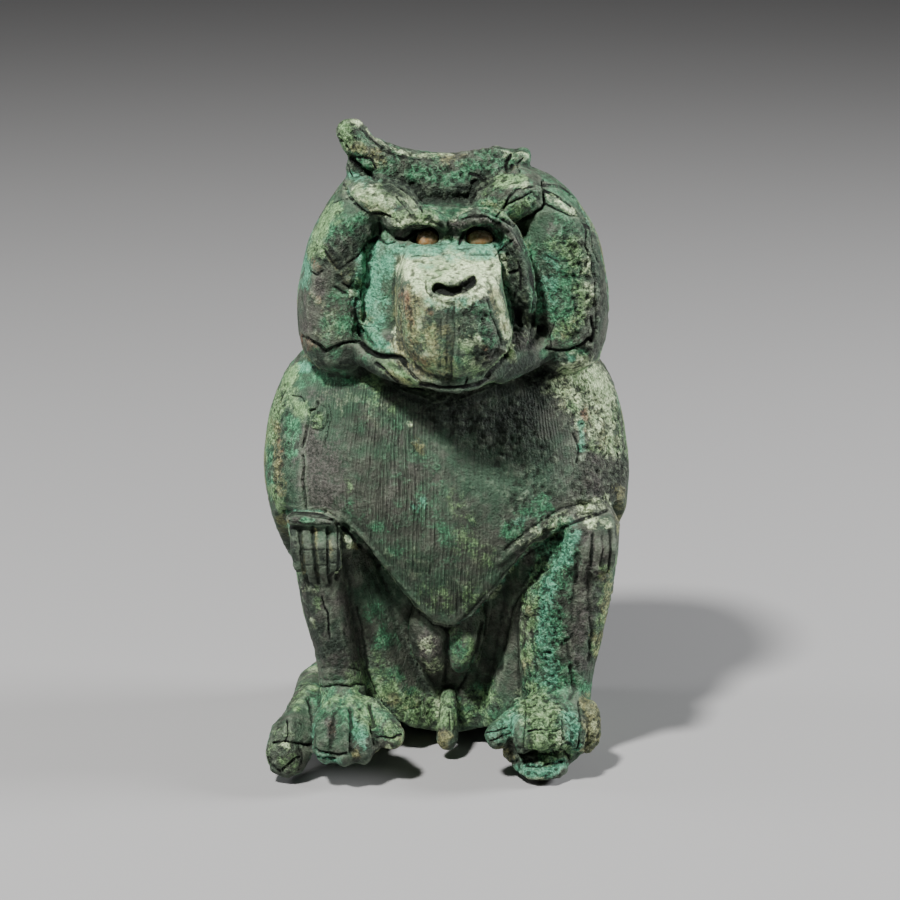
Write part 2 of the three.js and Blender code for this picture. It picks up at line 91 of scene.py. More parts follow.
@dataclass(frozen=True)
class PhotoView:
    """The camera that took the photograph, which also says where a pixel lies on the figure.

    Attributes:
        target: the point that it looks at.
        distance: how far away it stands from there.
        azimuth_deg: how far round the figure it stands, from straight in front.
        elevation_deg: how far above the level it stands.
        lens: its focal length.
        film: the width of its film.
        frame_px: the width of the photograph, in pixels.
    """

    target: tuple[float, float, float] = (1.71, 3.42, 98.1)
    distance: float = 997.0
    azimuth_deg: float = -4.0
    elevation_deg: float = 15.0
    lens: float = 120.0
    film: float = 36.0
    frame_px: float = 900.0

    CLIP_M = (0.05, 30.0)

    def axes(self) -> tuple[Array, Array, Array]:
        """Works out how the camera is turned.

        Returns:
            The directions to the right, up, and back towards the camera.
        """
        azimuth, elevation = math.radians(self.azimuth_deg), math.radians(self.elevation_deg)
        flat = math.cos(elevation)
        back = np.array([math.sin(azimuth) * flat, -math.cos(azimuth) * flat, math.sin(elevation)])
        right = np.array([math.cos(azimuth), math.sin(azimuth), 0.0])
        return right, np.cross(back, right), back

    def px_per_mm(self) -> float:
        """How many pixels a millimetre takes at the figure's middle."""
        return self.frame_px * self.lens / self.film / self.distance

    def look(self, points: Array) -> tuple[Array, Array]:
        """Projects points of the figure.

        Args:
            points: places in millimetres, one a row.

        Returns:
            Their pixels in the photograph, and their distances from the camera.
        """
        right, up, back = self.axes()
        eye = np.array(self.target) + back * self.distance
        away = points - eye
        depth = -(away @ back)
        scale = self.frame_px * self.lens / self.film / depth
        middle = self.frame_px / 2
        return np.stack([middle + away @ right * scale, middle - away @ up * scale], axis=1), depth

    def place(self) -> bpy.types.Object:
        """Makes the scene's camera.

        Returns:
            The camera's object.
        """
        _, _, back = self.axes()
        data = bpy.data.cameras.new("photo_camera")
        data.lens = self.lens
        data.sensor_width = self.film
        data.clip_start, data.clip_end = self.CLIP_M
        camera = bpy.data.objects.new("photo_camera", data)
        camera.location = Vector((np.array(self.target) + back * self.distance) * MM)
        camera.rotation_mode = "QUATERNION"
        camera.rotation_quaternion = Vector(back).to_track_quat("Z", "Y")
        bpy.context.scene.collection.objects.link(camera)
        bpy.context.scene.camera = camera
        return camera


VIEW = PhotoView()


def smoothstep(values: Array, low: float, high: float) -> Array:
    """Eases values from 0 at low to 1 at high."""
    share = np.clip((values - low) / (high - low), 0.0, 1.0)
    return share * share * (3.0 - 2.0 * share)


class Grain:
    """Smooth random patterns in space, the same in every run."""

    TABLE = 8192
    STEPS = (73856093, 19349663, 83492791)

    def __init__(self, seed: int) -> None:
        """Fills the table of random values."""
        self.values = np.random.default_rng(seed).random((self.TABLE, 3))

    def corner(self, cell: Array) -> Array:
        """The three random values that belong to each cell of the lattice."""
        mixed = np.bitwise_xor.reduce(cell * np.array(self.STEPS, dtype=np.int64), axis=1)
        return self.values[mixed & (self.TABLE - 1)]

    def at(self, points: Array, size: float) -> Array:
        """Smooth noise.

        Args:
            points: where, in millimetres.
            size: how far apart its bumps lie.

        Returns:
            A value from -1 to 1 for each point.
        """
        cell = np.floor(points / size).astype(np.int64)
        part = points / size - cell
        ease = (part * part * (3.0 - 2.0 * part)).T
        keys = [(row * step, (row + 1) * step) for row, step in zip(cell.T, self.STEPS)]
        table = self.values[:, 0].copy()
        total = np.zeros(len(points))
        for i, j in itertools.product((0, 1), repeat=2):
            key = keys[0][i] ^ keys[1][j]
            weight = (ease[0] if i else 1.0 - ease[0]) * (ease[1] if j else 1.0 - ease[1])
            low = table[(key ^ keys[2][0]) & (self.TABLE - 1)]
            high = table[(key ^ keys[2][1]) & (self.TABLE - 1)]
            total += weight * (low + ease[2] * (high - low))
        return total * 2.0 - 1.0

    def rolling(self, points: Array, size: float, layers: int = 3) -> Array:
        """Noise with finer noise on it, halving in size and height at each layer."""
        total = sum(self.at(points, size / 2**k) / 2**k for k in range(layers))
        return total / sum(0.5**k for k in range(layers))

    def cells(self, points: Array, size: float) -> Array:
        """Distances to scattered seeds.

        Args:
            points: where, in millimetres.
            size: how far apart the seeds lie.

        Returns:
            How far each point is from its nearest seed, in shares of size.
        """
        cell = np.floor(points / size).astype(np.int64)
        part = points / size - cell
        nearest = np.full(len(points), np.inf)
        for step in itertools.product((-1, 0, 1), repeat=3):
            seed = np.array(step) + self.corner(cell + np.array(step))
            nearest = np.minimum(nearest, np.linalg.norm(seed - part, axis=1))
        return nearest


COARSE = Grain(11)
FINE = Grain(29)


def near_path(at: Array, path: Path, reach: float) -> Array:
    """The numbers of the pixels that lie in a path's box, with reach round it."""
    low, high = np.min(path, axis=0) - reach, np.max(path, axis=0) + reach
    return np.flatnonzero(np.all((at > low) & (at < high), axis=1))


def along_path(at: Array, path: Path) -> tuple[Array, Array]:
    """Distance from a path drawn on the photograph.

    Args:
        at: pixels, one a row.
        path: the path's own pixels, at least one.

    Returns:
        The distance of each pixel, and the side it is on: above 0 to the right of the way the path runs.
    """
    nearest = np.full(len(at), np.inf)
    side = np.zeros(len(at))
    ends = path[1:] or path
    for (ax, ay), (bx, by) in zip(path, ends):
        run = np.array([bx - ax, by - ay])
        away = at - np.array([ax, ay])
        share = np.clip(away @ run / max(run @ run, 1e-9), 0.0, 1.0)
        distance = np.linalg.norm(away - share[:, None] * run, axis=1)
        closer = distance < nearest
        nearest[closer] = distance[closer]
        side[closer] = (run[0] * away[closer, 1] - run[1] * away[closer, 0]) / max(np.hypot(*run), 1e-9)
    return nearest, side


class Skin:
    """The surface of a mesh as arrays, in millimetres."""

    EDGE_ON, FACE_ON = 0.04, 0.3
    BUCKET_PX = 3.0
    BEHIND = 2.5
    FLOOR_CALM: Span = (0.2, 2.5)

    def __init__(self, mesh: bpy.types.Mesh) -> None:
        """Reads the mesh's vertices and edges."""
        self.mesh = mesh
        count = len(mesh.vertices)
        flat = np.empty(count * 3, dtype=np.float32)
        mesh.vertices.foreach_get("co", flat)
        self.points = flat.reshape(-1, 3).astype(float) / MM
        ends = np.empty(len(mesh.edges) * 2, dtype=np.int32)
        mesh.edges.foreach_get("vertices", ends)
        self.start, self.end = ends.reshape(-1, 2).T
        self.neighbours = np.bincount(self.start, minlength=count) + np.bincount(self.end, minlength=count)

    def store(self) -> None:
        """Writes the vertices back to the mesh."""
        self.mesh.vertices.foreach_set("co", (self.points * MM).astype(np.float32).ravel())
        self.mesh.update()

    def normals(self) -> Array:
        """Writes the vertices back, and reads which way the surface faces.

        Returns:
            The outward direction at each vertex.
        """
        self.store()
        flat = np.empty(len(self.points) * 3, dtype=np.float32)
        self.mesh.vertex_normals.foreach_get("vector", flat)
        return flat.reshape(-1, 3).astype(float)

    def spread(self, values: Array, times: int = 1, share: Array | float = 1.0) -> Array:
        """Evens values out over the surface.

        Args:
            values: one number or row for each vertex.
            times: how often each vertex is moved to the mean of its neighbours.
            share: how far towards that mean, for all vertices or for each.

        Returns:
            The evened values.
        """
        rows = np.array(values, dtype=float).reshape(len(self.points), -1)
        part = np.broadcast_to(np.asarray(share, dtype=float), (len(rows),))
        count = np.maximum(self.neighbours, 1)
        for _ in range(times):
            for column in range(rows.shape[1]):
                value = rows[:, column]
                total = np.bincount(self.start, weights=value[self.end], minlength=len(value))
                total += np.bincount(self.end, weights=value[self.start], minlength=len(value))
                rows[:, column] = value + part * (total / count - value)
        return rows.reshape(np.shape(values))

    def push(self, heights: Array, normals: Array) -> None:
        """Moves each vertex out, less so near the floor, which it never passes.

        Args:
            heights: how far each vertex moves.
            normals: which way it moves.
        """
        calm = smoothstep(self.points[:, 2], *self.FLOOR_CALM)
        self.points += normals * (heights * calm)[:, None]
        self.points[:, 2] = np.maximum(self.points[:, 2], 0.0)

    def look(self, normals: Array) -> tuple[Array, Array]:
        """How the photograph sees the surface.

        Args:
            normals: the outward directions.

        Returns:
            The pixel of each vertex, and from 0 to 1 how openly the photograph shows it.
        """
        pixels, depth = VIEW.look(self.points)
        bucket = np.clip(pixels / self.BUCKET_PX, 0, VIEW.frame_px / self.BUCKET_PX).astype(int)
        width = int(VIEW.frame_px / self.BUCKET_PX) + 2
        index = bucket[:, 1] * width + bucket[:, 0]
        nearest = np.full(width * width, np.inf)
        np.minimum.at(nearest, index, depth)
        open_ = 1.0 - smoothstep(depth - nearest[index], self.BEHIND, 2.0 * self.BEHIND)
        facing = smoothstep(normals @ VIEW.axes()[2], self.EDGE_ON, self.FACE_ON)
        return pixels, open_ * facing


@dataclass(frozen=True)
class Cut:
    """A crack, groove or ridge along a path of photograph pixels.

    Attributes:
        path: the pixels that it runs through.
        width: from its middle to its edge.
        depth: how far it goes in, or out where it is below 0.
        lift: how much higher the surface to the right of its way stands.
        ragged: how far it strays from its path.
        shade: from 0 to 1, how dark it is painted inside, partly the crack's own dark and partly painted
            shade.
        steep: how upright its sides are, from 1 up.
    """

    path: Path
    width: float
    depth: float
    lift: float = 0.0
    ragged: float = 0.5
    shade: float = 1.0
    steep: float = 1.0

    LIFT_EDGE = (-0.2, 0.5)
    LIFT_FADES, LIFT_ENDS = 3.5, 10.5
    STRAY_SIZE, WIDTH_SIZE, DEPTH_SIZE = 3.0, 4.0, 6.0
    UNEVEN_WIDTH, UNEVEN_DEPTH = 0.4, 0.9
    MEAN_DEPTH, LEAST_DEPTH = 0.85, 0.25
    DARKNESS, DARK_EDGE = 1.3, 0.15

    def profile(self, pixels: Array, points: Array) -> tuple[Array, Array, Array]:
        """Where the mark is.

        Args:
            pixels: the photograph pixel of each vertex.
            points: the vertices.

        Returns:
            The numbers of the vertices that it reaches, their heights, and their shade.
        """
        scale = VIEW.px_per_mm()
        widest = max(self.width, self.LIFT_ENDS if self.lift else 0.0) + 2.0 * self.ragged
        near = near_path(pixels, self.path, widest * scale)
        place = points[near]
        stray = np.stack([FINE.rolling(place + apart, self.STRAY_SIZE, 2) for apart in (0.0, 50.0)], axis=1)
        distance, side = along_path(pixels[near] + stray * self.ragged * scale, self.path)
        breadth = self.width * (1.0 + self.UNEVEN_WIDTH * self.ragged * FINE.at(place, self.WIDTH_SIZE))
        away = distance / scale / breadth
        inside = smoothstep(1.0 - away, 0.0, 1.0 / self.steep)
        uneven = self.UNEVEN_DEPTH * self.ragged * COARSE.rolling(place, self.DEPTH_SIZE, 2)
        uneven = np.clip(self.MEAN_DEPTH + uneven, self.LEAST_DEPTH, 1.0)
        fading = np.exp(-distance / scale / self.LIFT_FADES)
        raised = self.lift * smoothstep(side / scale, *self.LIFT_EDGE) * fading
        dark = np.clip((1.0 - away) * self.DARKNESS * self.steep - self.DARK_EDGE, 0.0, 1.0)
        return near, raised - self.depth * uneven * inside, self.shade * uneven * dark


@dataclass(frozen=True)
class Boss:
    """A lump, or a hollow where its height is below 0, round a pixel of the photograph.

    Attributes:
        x: its middle, in pixels.
        y: the same, down the photograph.
        wide: half its width, in pixels.
        tall: half its height.
        height: how far it stands out, in millimetres.
        turn_deg: how far it is turned clockwise.
    """

    x: float
    y: float
    wide: float
    tall: float
    height: float
    turn_deg: float = 0.0

    ROUNDING = 1.5

    def heights(self, pixels: Array) -> Array:
        """Works out its shape.

        Args:
            pixels: the photograph pixel of each vertex.

        Returns:
            The height that it adds at each vertex.
        """
        turn = math.radians(self.turn_deg)
        away = pixels - np.array([self.x, self.y])
        across = (away @ np.array([math.cos(turn), math.sin(turn)])) / self.wide
        down = (away @ np.array([-math.sin(turn), math.cos(turn)])) / self.tall
        return self.height * np.clip(1.0 - across**2 - down**2, 0.0, 1.0) ** self.ROUNDING


@dataclass(frozen=True)
class Stain:
    """A patch of one kind of patina round a path of photograph pixels.

    Attributes:
        kind: what has grown there.
        path: one or more pixels that it lies along.
        spread: how far it reaches from the path, in pixels.
        strength: from 0 to 1, how much of it there is.
    """

    kind: Patina
    path: Path
    spread: float
    strength: float = 1.0

    FULL, GONE = 0.2, 1.4
    WANDER = 0.5

    def cover(self, pixels: Array, stray: Array) -> tuple[Array, Array]:
        """How much of it lies on the surface, its edge moved by stray.

        Args:
            pixels: the photograph pixel of each vertex.
            stray: a pattern from -1 to 1 on the vertices.

        Returns:
            The numbers of the vertices that it reaches, and from 0 to 1 its share there.
        """
        near = near_path(pixels, self.path, (self.GONE + self.WANDER) * self.spread)
        distance, _ = along_path(pixels[near], self.path)
        away = distance / self.spread + self.WANDER * stray[near]
        return near, self.strength * (1.0 - smoothstep(away, self.FULL, self.GONE))


@dataclass(frozen=True)
class Region:
    """A part of the casting with its own fine marks."""

    name: str
    cuts: tuple[Cut, ...] = ()
    bosses: tuple[Boss, ...] = ()
    stains: tuple[Stain, ...] = ()


def finger_gap(path: Path, line: float, shade: float) -> tuple[Cut, Cut]:
    """A soft groove between two fingers, and the dark line of that width along its bottom."""
    return Cut(path, 1.1, 1.0, ragged=0.2, shade=0.2), Cut(path, line, 0.4, ragged=0.3, shade=shade)


def level_marks(spans: tuple[Span, ...], y: float, *form: float, shade: float) -> tuple[Cut, ...]:
    """Short level marks side by side, such as the creases of knuckles, one over each span of pixels."""
    return tuple(Cut(((left, y), (right, y)), *form, ragged=0.1, shade=shade) for left, right in spans)


CRESCENT = Region(
    name="crescent",
    cuts=(
        Cut(((350, 158), (359, 167), (368, 173), (376, 178)), 1.4, 2.3, ragged=0.4),
        Cut(((354, 158), (363, 157), (372, 160), (376, 168)), 0.6, 0.9, ragged=0.3),
        Cut(((342, 150), (346, 162), (353, 176)), 0.5, 0.5),
        Cut(((360, 129), (374, 142), (388, 152), (404, 157.5), (420, 160)), 0.5, 0.8, ragged=0.3),
        Cut(((364, 126), (378, 139), (392, 149.5), (408, 154.5)), 0.45, -0.5, ragged=0.2, shade=0.0),
        Cut(((416, 160), (424, 166), (432, 171)), 0.4, -0.5, shade=0.0),
        Cut(((470, 173), (479, 176), (486, 181)), 0.8, 0.9),
        Cut(((484, 180), (494, 174), (502, 167)), 0.6, 0.8),
        Cut(((505, 171), (507, 161), (511, 155)), 1.1, 1.5),
        Cut(((509, 170), (513, 165)), 1.4, 1.4),
        Cut(((519, 172), (517, 163), (523, 158)), 0.5, 0.6),
    ),
    bosses=(
        Boss(367, 165, 8, 7, 1.0, 20),
        Boss(350, 132, 7, 8, 0.5),
        Boss(495, 152, 7, 4, 1.0),
        Boss(522, 158, 9, 7, 1.1),
    ),
    stains=(
        # Painted shade on the crescent's underside.
        Stain(SOOT, ((394, 187), (430, 195), (468, 191), (482, 183)), 14, 1.0),
        Stain(SOOT, ((352, 164), (366, 174), (376, 178)), 5, 0.9),
        Stain(SOOT, ((372, 136), (384, 148)), 4, 0.5),
        Stain(EMERALD, ((412, 174), (440, 178), (462, 178)), 13, 0.85),
        Stain(EMERALD, ((478, 166), (492, 160)), 10, 0.7),
        Stain(EMERALD, ((340, 145), (390, 165), (440, 172), (520, 165)), 24, 0.4),
        Stain(TEAL, ((354, 176), (362, 182)), 7, 0.6),
        Stain(CRUST, ((345, 140), (380, 162), (440, 178), (500, 165)), 24, 1.0),
        Stain(OCHRE, ((354, 148), (368, 150), (380, 160)), 10, 0.5),
        Stain(OCHRE, ((440, 158), (462, 160)), 9, 0.3),
        Stain(LIME, ((346, 127), (345, 142)), 11, 0.85),
        Stain(PALE, ((352, 121), (362, 125)), 4, 0.6),
        Stain(PALE, ((366, 129), (380, 141), (395, 151), (420, 156), (450, 154)), 3, 0.45),
        Stain(PALE, ((508, 155), (524, 156)), 7, 0.5),
        Stain(UMBER, ((362, 172), (376, 182)), 8, 0.5),
        Stain(UMBER, ((472, 174), (482, 180)), 7, 0.7),
    ),
)

CAPS = Region(
    name="hair over the temples",
    cuts=(
        Cut(((344, 184), (350, 196), (356, 204), (362, 210), (371, 214), (381, 213.5), (392, 216)),
            0.8, 1.5, lift=-0.5),
        Cut(((325, 213), (332, 204), (342, 199), (352, 197)), 0.35, 0.4),
        Cut(((400, 189), (410, 195), (418, 204), (423, 213)), 0.5, 0.7, ragged=0.3),
        Cut(((396, 196), (403, 205), (410, 214)), 0.45, 0.6, shade=0.7),
        Cut(((497, 216), (505, 206), (508.5, 197), (516, 190), (532, 187)), 0.7, 1.3, lift=0.4),
        Cut(((503, 219), (514, 225), (529, 217), (542, 208), (544.5, 202.5), (543, 189.5), (543, 180)),
            0.8, 1.9, lift=-0.5, ragged=0.3),
        Cut(((505, 206), (518, 199), (532, 192)), 0.55, 1.1, ragged=0.3),
        Cut(((544.5, 202.5), (558, 210), (569.5, 215.5), (578, 216.5)), 0.55, 1.2, lift=0.4, ragged=0.3),
        Cut(((543.5, 189.5), (558, 197), (573, 208), (581, 219), (588, 228)), 0.8, 1.7, lift=0.6, ragged=0.3),
        Cut(((545.5, 184), (560, 186), (577, 199), (586, 215.5)), 0.7, 1.0, ragged=0.3),
        Cut(((470, 203), (476, 192), (488, 183)), 0.6, 0.9, ragged=0.3),
        Cut(((484, 196), (500, 187), (520, 181)), 0.4, 0.5, shade=0.6),
    ),
    bosses=(
        Boss(384, 198, 32, 15, 0.7, 12),
        Boss(517, 211, 14, 8, 0.5, -25),
        Boss(520, 186, 18, 6, 0.5, -15),
    ),
    stains=(
        Stain(PALE, ((360, 193), (376, 198), (388, 205)), 12, 0.85),
        Stain(TEAL, ((384, 196), (396, 206)), 7, 0.4),
        Stain(OCHRE, ((362, 201), (374, 208)), 6, 0.6),
        Stain(PALE, ((392, 190), (408, 197), (414, 205)), 7, 0.6),
        Stain(LIME, ((385, 190), (402, 198), (412, 210)), 11, 0.5),
        Stain(LIME, ((352, 190), (372, 206)), 12, 0.35),
        Stain(LIME, ((486, 188), (500, 182), (520, 180)), 9, 0.7),
        Stain(PALE, ((500, 184), (524, 184)), 6, 0.5),
        Stain(LIME, ((490, 203), (508, 212), (530, 200)), 10, 0.45),
        Stain(OCHRE, ((484, 204), (496, 208)), 6, 0.4),
        Stain(EMERALD, ((485, 195), (530, 190), (560, 200)), 24, 0.4),
        Stain(EMERALD, ((506, 216), (520, 214)), 8, 0.8),
        Stain(EMERALD, ((552, 190), (566, 194)), 6, 0.8),
        Stain(EMERALD, ((480, 202), (494, 212)), 10, 0.6),
        Stain(PALE, ((550, 197), (562, 205), (574, 213)), 6, 0.5),
        # Painted shade along the crescent's foot.
        Stain(SOOT, ((420, 196), (436, 203), (466, 203), (474, 196)), 6, 0.9),
        Stain(EMERALD, ((428, 210), (463, 210)), 10, 1.0),
        # Painted shade on the head just under the crescent.
        Stain(SOOT, ((428, 209), (468, 209)), 10, 0.5),
        Stain(CRUST, ((380, 200),), 34, 0.6),
        Stain(CRUST, ((485, 200), (530, 195)), 20, 0.6),
    ),
)

BOLSTERS = Region(
    name="bolsters",
    cuts=(
        Cut(((378.5, 219), (380.5, 230), (379, 238), (386, 243.5), (394, 242)), 0.7, 1.0, shade=0.8),
        Cut(((379, 238), (369, 243), (360, 254), (347, 263.5), (336, 268), (330, 258), (325, 250)),
            1.0, 1.0, ragged=0.9, shade=0.9),
        Cut(((366, 246), (361, 262), (359, 278), (360, 296)), 0.9, 0.5, ragged=0.8, shade=0.2),
        Cut(((356, 298), (355, 312), (357, 326), (362, 338), (364, 345)), 0.8, 0.9, ragged=0.8, shade=0.6),
        Cut(((302, 336), (310, 340.5), (320, 346), (325, 352), (334, 347), (342, 343.5), (350, 341.5),
             (360, 341)),
            0.75, 1.8, lift=-0.6, ragged=0.35),
        # A groove between the face and the bolster on the figure's left, dark inside as painted shade.
        Cut(((516, 228), (527, 250), (532, 277), (535.5, 297), (534, 316), (532.5, 335), (529, 347)),
            1.6, 1.2, ragged=0.4, shade=0.6),
        Cut(((585, 217), (591, 235), (593, 250), (598, 262)), 0.5, 1.0, lift=0.4),
        Cut(((577, 215), (585, 230), (586, 247), (593, 263), (596, 280), (596, 300), (597, 330)),
            0.45, 0.9, lift=-0.3),
        Cut(((547, 348), (558, 350.5), (568, 350), (579, 346), (590, 338)), 0.75, 1.4, lift=-0.3, ragged=0.3),
        Cut(((551, 347), (550, 335), (555, 322), (568, 314), (583, 311)), 0.35, 0.4, lift=0.35),
        Cut(((545, 236), (556, 240), (571, 242), (584, 239)), 0.5, -0.4, shade=0.0),
        Cut(((543, 255), (556, 261), (570, 261), (580, 254)), 0.5, 0.4, shade=0.5),
        Cut(((304, 262), (303, 280), (302, 300)), 0.5, 0.4, shade=0.5),
        Cut(((590, 318), (594, 330), (592, 342)), 1.0, 1.0),
        Cut(((335, 288), (345, 294)), 1.0, 0.7, shade=0.6),
        Cut(((343, 284), (348, 286), (353, 281)), 0.5, 0.7),
        Cut(((311, 271), (317, 275), (322, 270)), 0.5, 0.6),
    ),
    bosses=(
        Boss(348, 279, 6, 6.5, 1.7),
        Boss(359, 268, 7, 20, 2.0),
        Boss(358, 306, 7, 22, 2.0),
        Boss(353, 292, 5, 7, 1.2),
        Boss(316, 266, 6, 8, 1.0),
        Boss(346, 236, 34, 26, 1.2, -30),
        Boss(331, 352, 34, 9, -0.6),
        Boss(571, 330, 20, 17, 0.7),
        Boss(560, 240, 26, 24, 0.5),
        Boss(568, 358, 24, 9, 0.5),
    ),
    stains=(
        Stain(LIME, ((330, 212), (318, 226), (313, 248)), 13, 0.95),
        Stain(EMERALD, ((340, 212), (330, 230)), 10, 0.7),
        Stain(SOOT, ((365, 232), (352, 248), (340, 258)), 13, 0.75),
        Stain(UMBER, ((330, 240), (336, 250)), 13, 0.6),
        Stain(EMERALD, ((360, 220), (352, 236)), 10, 0.5),
        Stain(TEAL, ((306, 262), (305, 285)), 7, 0.8),
        Stain(UMBER, ((312, 290), (318, 320), (312, 335)), 20, 0.5),
        Stain(PALE, ((320, 300), (328, 330)), 22, 0.15),
        Stain(RUST, ((312, 296), (318, 306)), 8, 0.3),
        Stain(RUST, ((303, 338), (312, 348)), 6, 0.6),
        Stain(RUST, ((314, 262), (317, 270)), 6, 0.5),
        Stain(OCHRE, ((347, 278),), 6, 0.5),
        Stain(TEAL, ((362, 256), (360, 290), (360, 320)), 9, 0.7),
        Stain(EMERALD, ((320, 225), (345, 240)), 26, 0.35),
        Stain(EMERALD, ((330, 330), (350, 340)), 16, 0.35),
        Stain(EMERALD, ((338, 300), (346, 330)), 14, 0.6),
        Stain(PALE, ((353, 291), (353, 297)), 4, 0.5),
        Stain(OCHRE, ((332, 258), (345, 272)), 6, 0.5),
        Stain(LIME, ((352, 268), (357, 284)), 6, 0.4),
        # Painted shade under the bolster and on the head's underside.
        Stain(SOOT, ((318, 360), (345, 364), (372, 368)), 12, 0.9),
        Stain(EMERALD, ((318, 352), (345, 352), (370, 360)), 12, 0.5),
        Stain(SOOT, ((338, 354), (360, 357), (380, 366)), 11, 0.6),
        Stain(CRUST, ((348, 240), (335, 258)), 26, 1.0),
        Stain(CRUST, ((356, 270), (357, 330)), 9, 0.8),
        Stain(CRUST, ((575, 235), (580, 290), (580, 335)), 22, 1.0),
        Stain(CRUST, ((548, 250), (552, 320)), 18, 0.55),
        Stain(TEAL, ((550, 262), (548, 300)), 12, 0.4),
        Stain(EMERALD, ((566, 272), (570, 300), (562, 320)), 15, 0.7),
        Stain(EMERALD, ((528, 240), (534, 270), (537, 320)), 8, 0.7),
        Stain(LIME, ((556, 246), (570, 252)), 12, 0.4),
        Stain(LIME, ((560, 334), (577, 322)), 12, 0.5),
        Stain(OCHRE, ((560, 332), (575, 322)), 9, 0.35),
        Stain(UMBER, ((550, 224), (575, 232)), 12, 0.45),
        Stain(EMERALD, ((560, 230), (565, 340)), 26, 0.35),
        Stain(UMBER, ((590, 300), (588, 320)), 7, 0.5),
        Stain(PALE, ((582, 250), (588, 290), (588, 310)), 8, 0.32),
        Stain(LIME, ((573, 245), (582, 285), (580, 318)), 12, 0.5),
        Stain(EMERALD, ((548, 356), (580, 354)), 8, 0.9),
        Stain(TEAL, ((556, 360), (572, 358)), 5, 0.7),
    ),
)

FACE = Region(
    name="face",
    cuts=(
        Cut(((400, 214.5), (415, 212.5), (430, 214), (440, 220.5), (448, 229)),
            0.9, -0.5, ragged=0.3, shade=0.0),
        Cut(((451, 220), (460, 217), (469, 213.5), (483, 213), (497, 219), (509, 229)),
            0.8, -0.5, ragged=0.3, shade=0.0),
        Cut(((462, 219.5), (472, 216.5), (486, 216.5), (499, 224)), 0.45, 0.7, ragged=0.3, shade=0.9),
        Cut(((490, 226), (500, 221.5)), 0.6, 0.9),
        Cut(((506, 224), (516, 236), (522, 250)), 0.6, 0.7, shade=0.8),
        # A groove over the figure's right eye, dark inside as the brow's painted shadow.
        Cut(((396, 238), (404, 239), (412, 235), (418, 230.5), (426, 229), (433, 230.5)),
            1.0, 1.0, ragged=0.2),
        Cut(((403, 226), (412, 223), (420, 224)), 0.6, 0.5, shade=0.6),
        Cut(((431, 222), (440, 227)), 1.2, 0.9, shade=0.7),
        # The same over the figure's left eye.
        Cut(((459, 243.5), (463.5, 234), (473, 228), (483, 230), (492, 238)), 1.0, 1.1, ragged=0.2),
        Cut(((398, 246.5), (412, 246.5), (428, 248), (438, 247)), 0.45, 0.4, shade=0.5),
        Cut(((458, 249), (474, 250), (490, 248), (500, 246)), 0.45, 0.35, shade=0.4),
        Cut(((496, 255), (504, 247), (513, 240.5)), 0.6, 0.8),
        Cut(((449, 222), (449.5, 229), (448, 236)), 1.2, 0.8, shade=0.35),
        Cut(((412, 256.5), (424, 256), (438, 255.5)), 0.4, 0.5, shade=0.7),
        Cut(((501, 276), (508, 289), (513, 302), (515, 316), (514, 330)), 0.6, 1.0, lift=-0.5),
        Cut(((518, 262), (521, 276), (520, 290)), 0.7, 0.8),
        Cut(((510.5, 273), (520, 270)), 1.0, 1.1),
        Cut(((518, 311), (520, 324)), 1.9, 1.7),
        Cut(((526, 322), (528, 330)), 1.2, 1.3),
        Cut(((358, 324), (370, 326), (382, 330)), 0.45, 0.5, ragged=0.6, shade=0.7),
        Cut(((372, 296), (378, 300), (388, 298)), 0.45, 0.4, shade=0.5),
    ),
    bosses=(
        Boss(397, 226, 13, 9, 0.5),
        Boss(520, 290, 8, 18, 0.7),
        Boss(524, 338, 9, 12, 1.0),
        Boss(378, 290, 14, 30, -0.5),
        Boss(372, 320, 12, 14, 0.4),
        Boss(414, 224, 20, 6, 1.8),
        Boss(482, 222, 20, 6, 1.2),
        Boss(426, 250, 17, 5, 1.2),
        Boss(479, 250, 17, 5, 1.2),
    ),
    stains=(
        Stain(UMBER, ((396, 236), (406, 230), (420, 227), (438, 232)), 5, 0.6),
        Stain(UMBER, ((454, 228), (466, 219), (487, 219), (505, 231), (514, 244)), 9, 0.9),
        Stain(PALE, ((398, 222), (412, 220), (430, 222)), 9, 0.7),
        Stain(LIME, ((396, 218), (412, 214.5), (432, 216)), 7, 0.5),
        # Painted shadow of the brows over the eyes.
        Stain(SOOT, ((399, 241), (406, 235), (416, 230), (428, 228), (437, 233)), 3, 0.95),
        Stain(SOOT, ((460, 241), (465, 233), (475, 228), (486, 230), (494, 240)), 3, 0.95),
        Stain(TEAL, ((398, 249), (430, 251), (448, 246)), 8, 1.0),
        Stain(TEAL, ((456, 249), (500, 248)), 7, 1.0),
        Stain(EMERALD, ((434, 238), (439, 242)), 4, 0.9),
        Stain(PALE, ((447, 238), (450, 250)), 5, 0.8),
        Stain(EMERALD, ((380, 256), (372, 290), (374, 330)), 21, 0.6),
        Stain(TEAL, ((380, 256), (372, 290), (372, 318)), 19, 0.9),
        Stain(EMERALD, ((376, 248), (392, 236)), 9, 0.6),
        Stain(EMERALD, ((366, 330), (380, 345)), 13, 0.8),
        Stain(TEAL, ((376, 340), (386, 350)), 8, 0.6),
        Stain(SOOT, ((362, 338), (372, 348)), 6, 0.5),
        Stain(OCHRE, ((362, 316), (368, 322)), 8, 0.6),
        Stain(UMBER, ((384, 318), (388, 335)), 6, 0.4),
        Stain(SOOT, ((510, 250), (521, 275), (520, 300), (522, 325)), 10, 0.75),
        Stain(PALE, ((516, 262), (524, 300), (526, 336)), 4, 0.3),
        Stain(UMBER, ((516, 335), (526, 345)), 9, 0.7),
        Stain(CRUST, ((512, 250), (520, 300), (522, 338)), 14, 1.0),
        Stain(CRUST, ((392, 224), (420, 220), (441, 225)), 9, 0.6),
        Stain(CRUST, ((456, 222), (480, 217), (508, 234)), 9, 0.6),
        Stain(EMERALD, ((505, 285), (510, 320)), 6, 0.7),
        Stain(EMERALD, ((498, 236), (506, 244)), 6, 0.8),
    ),
)

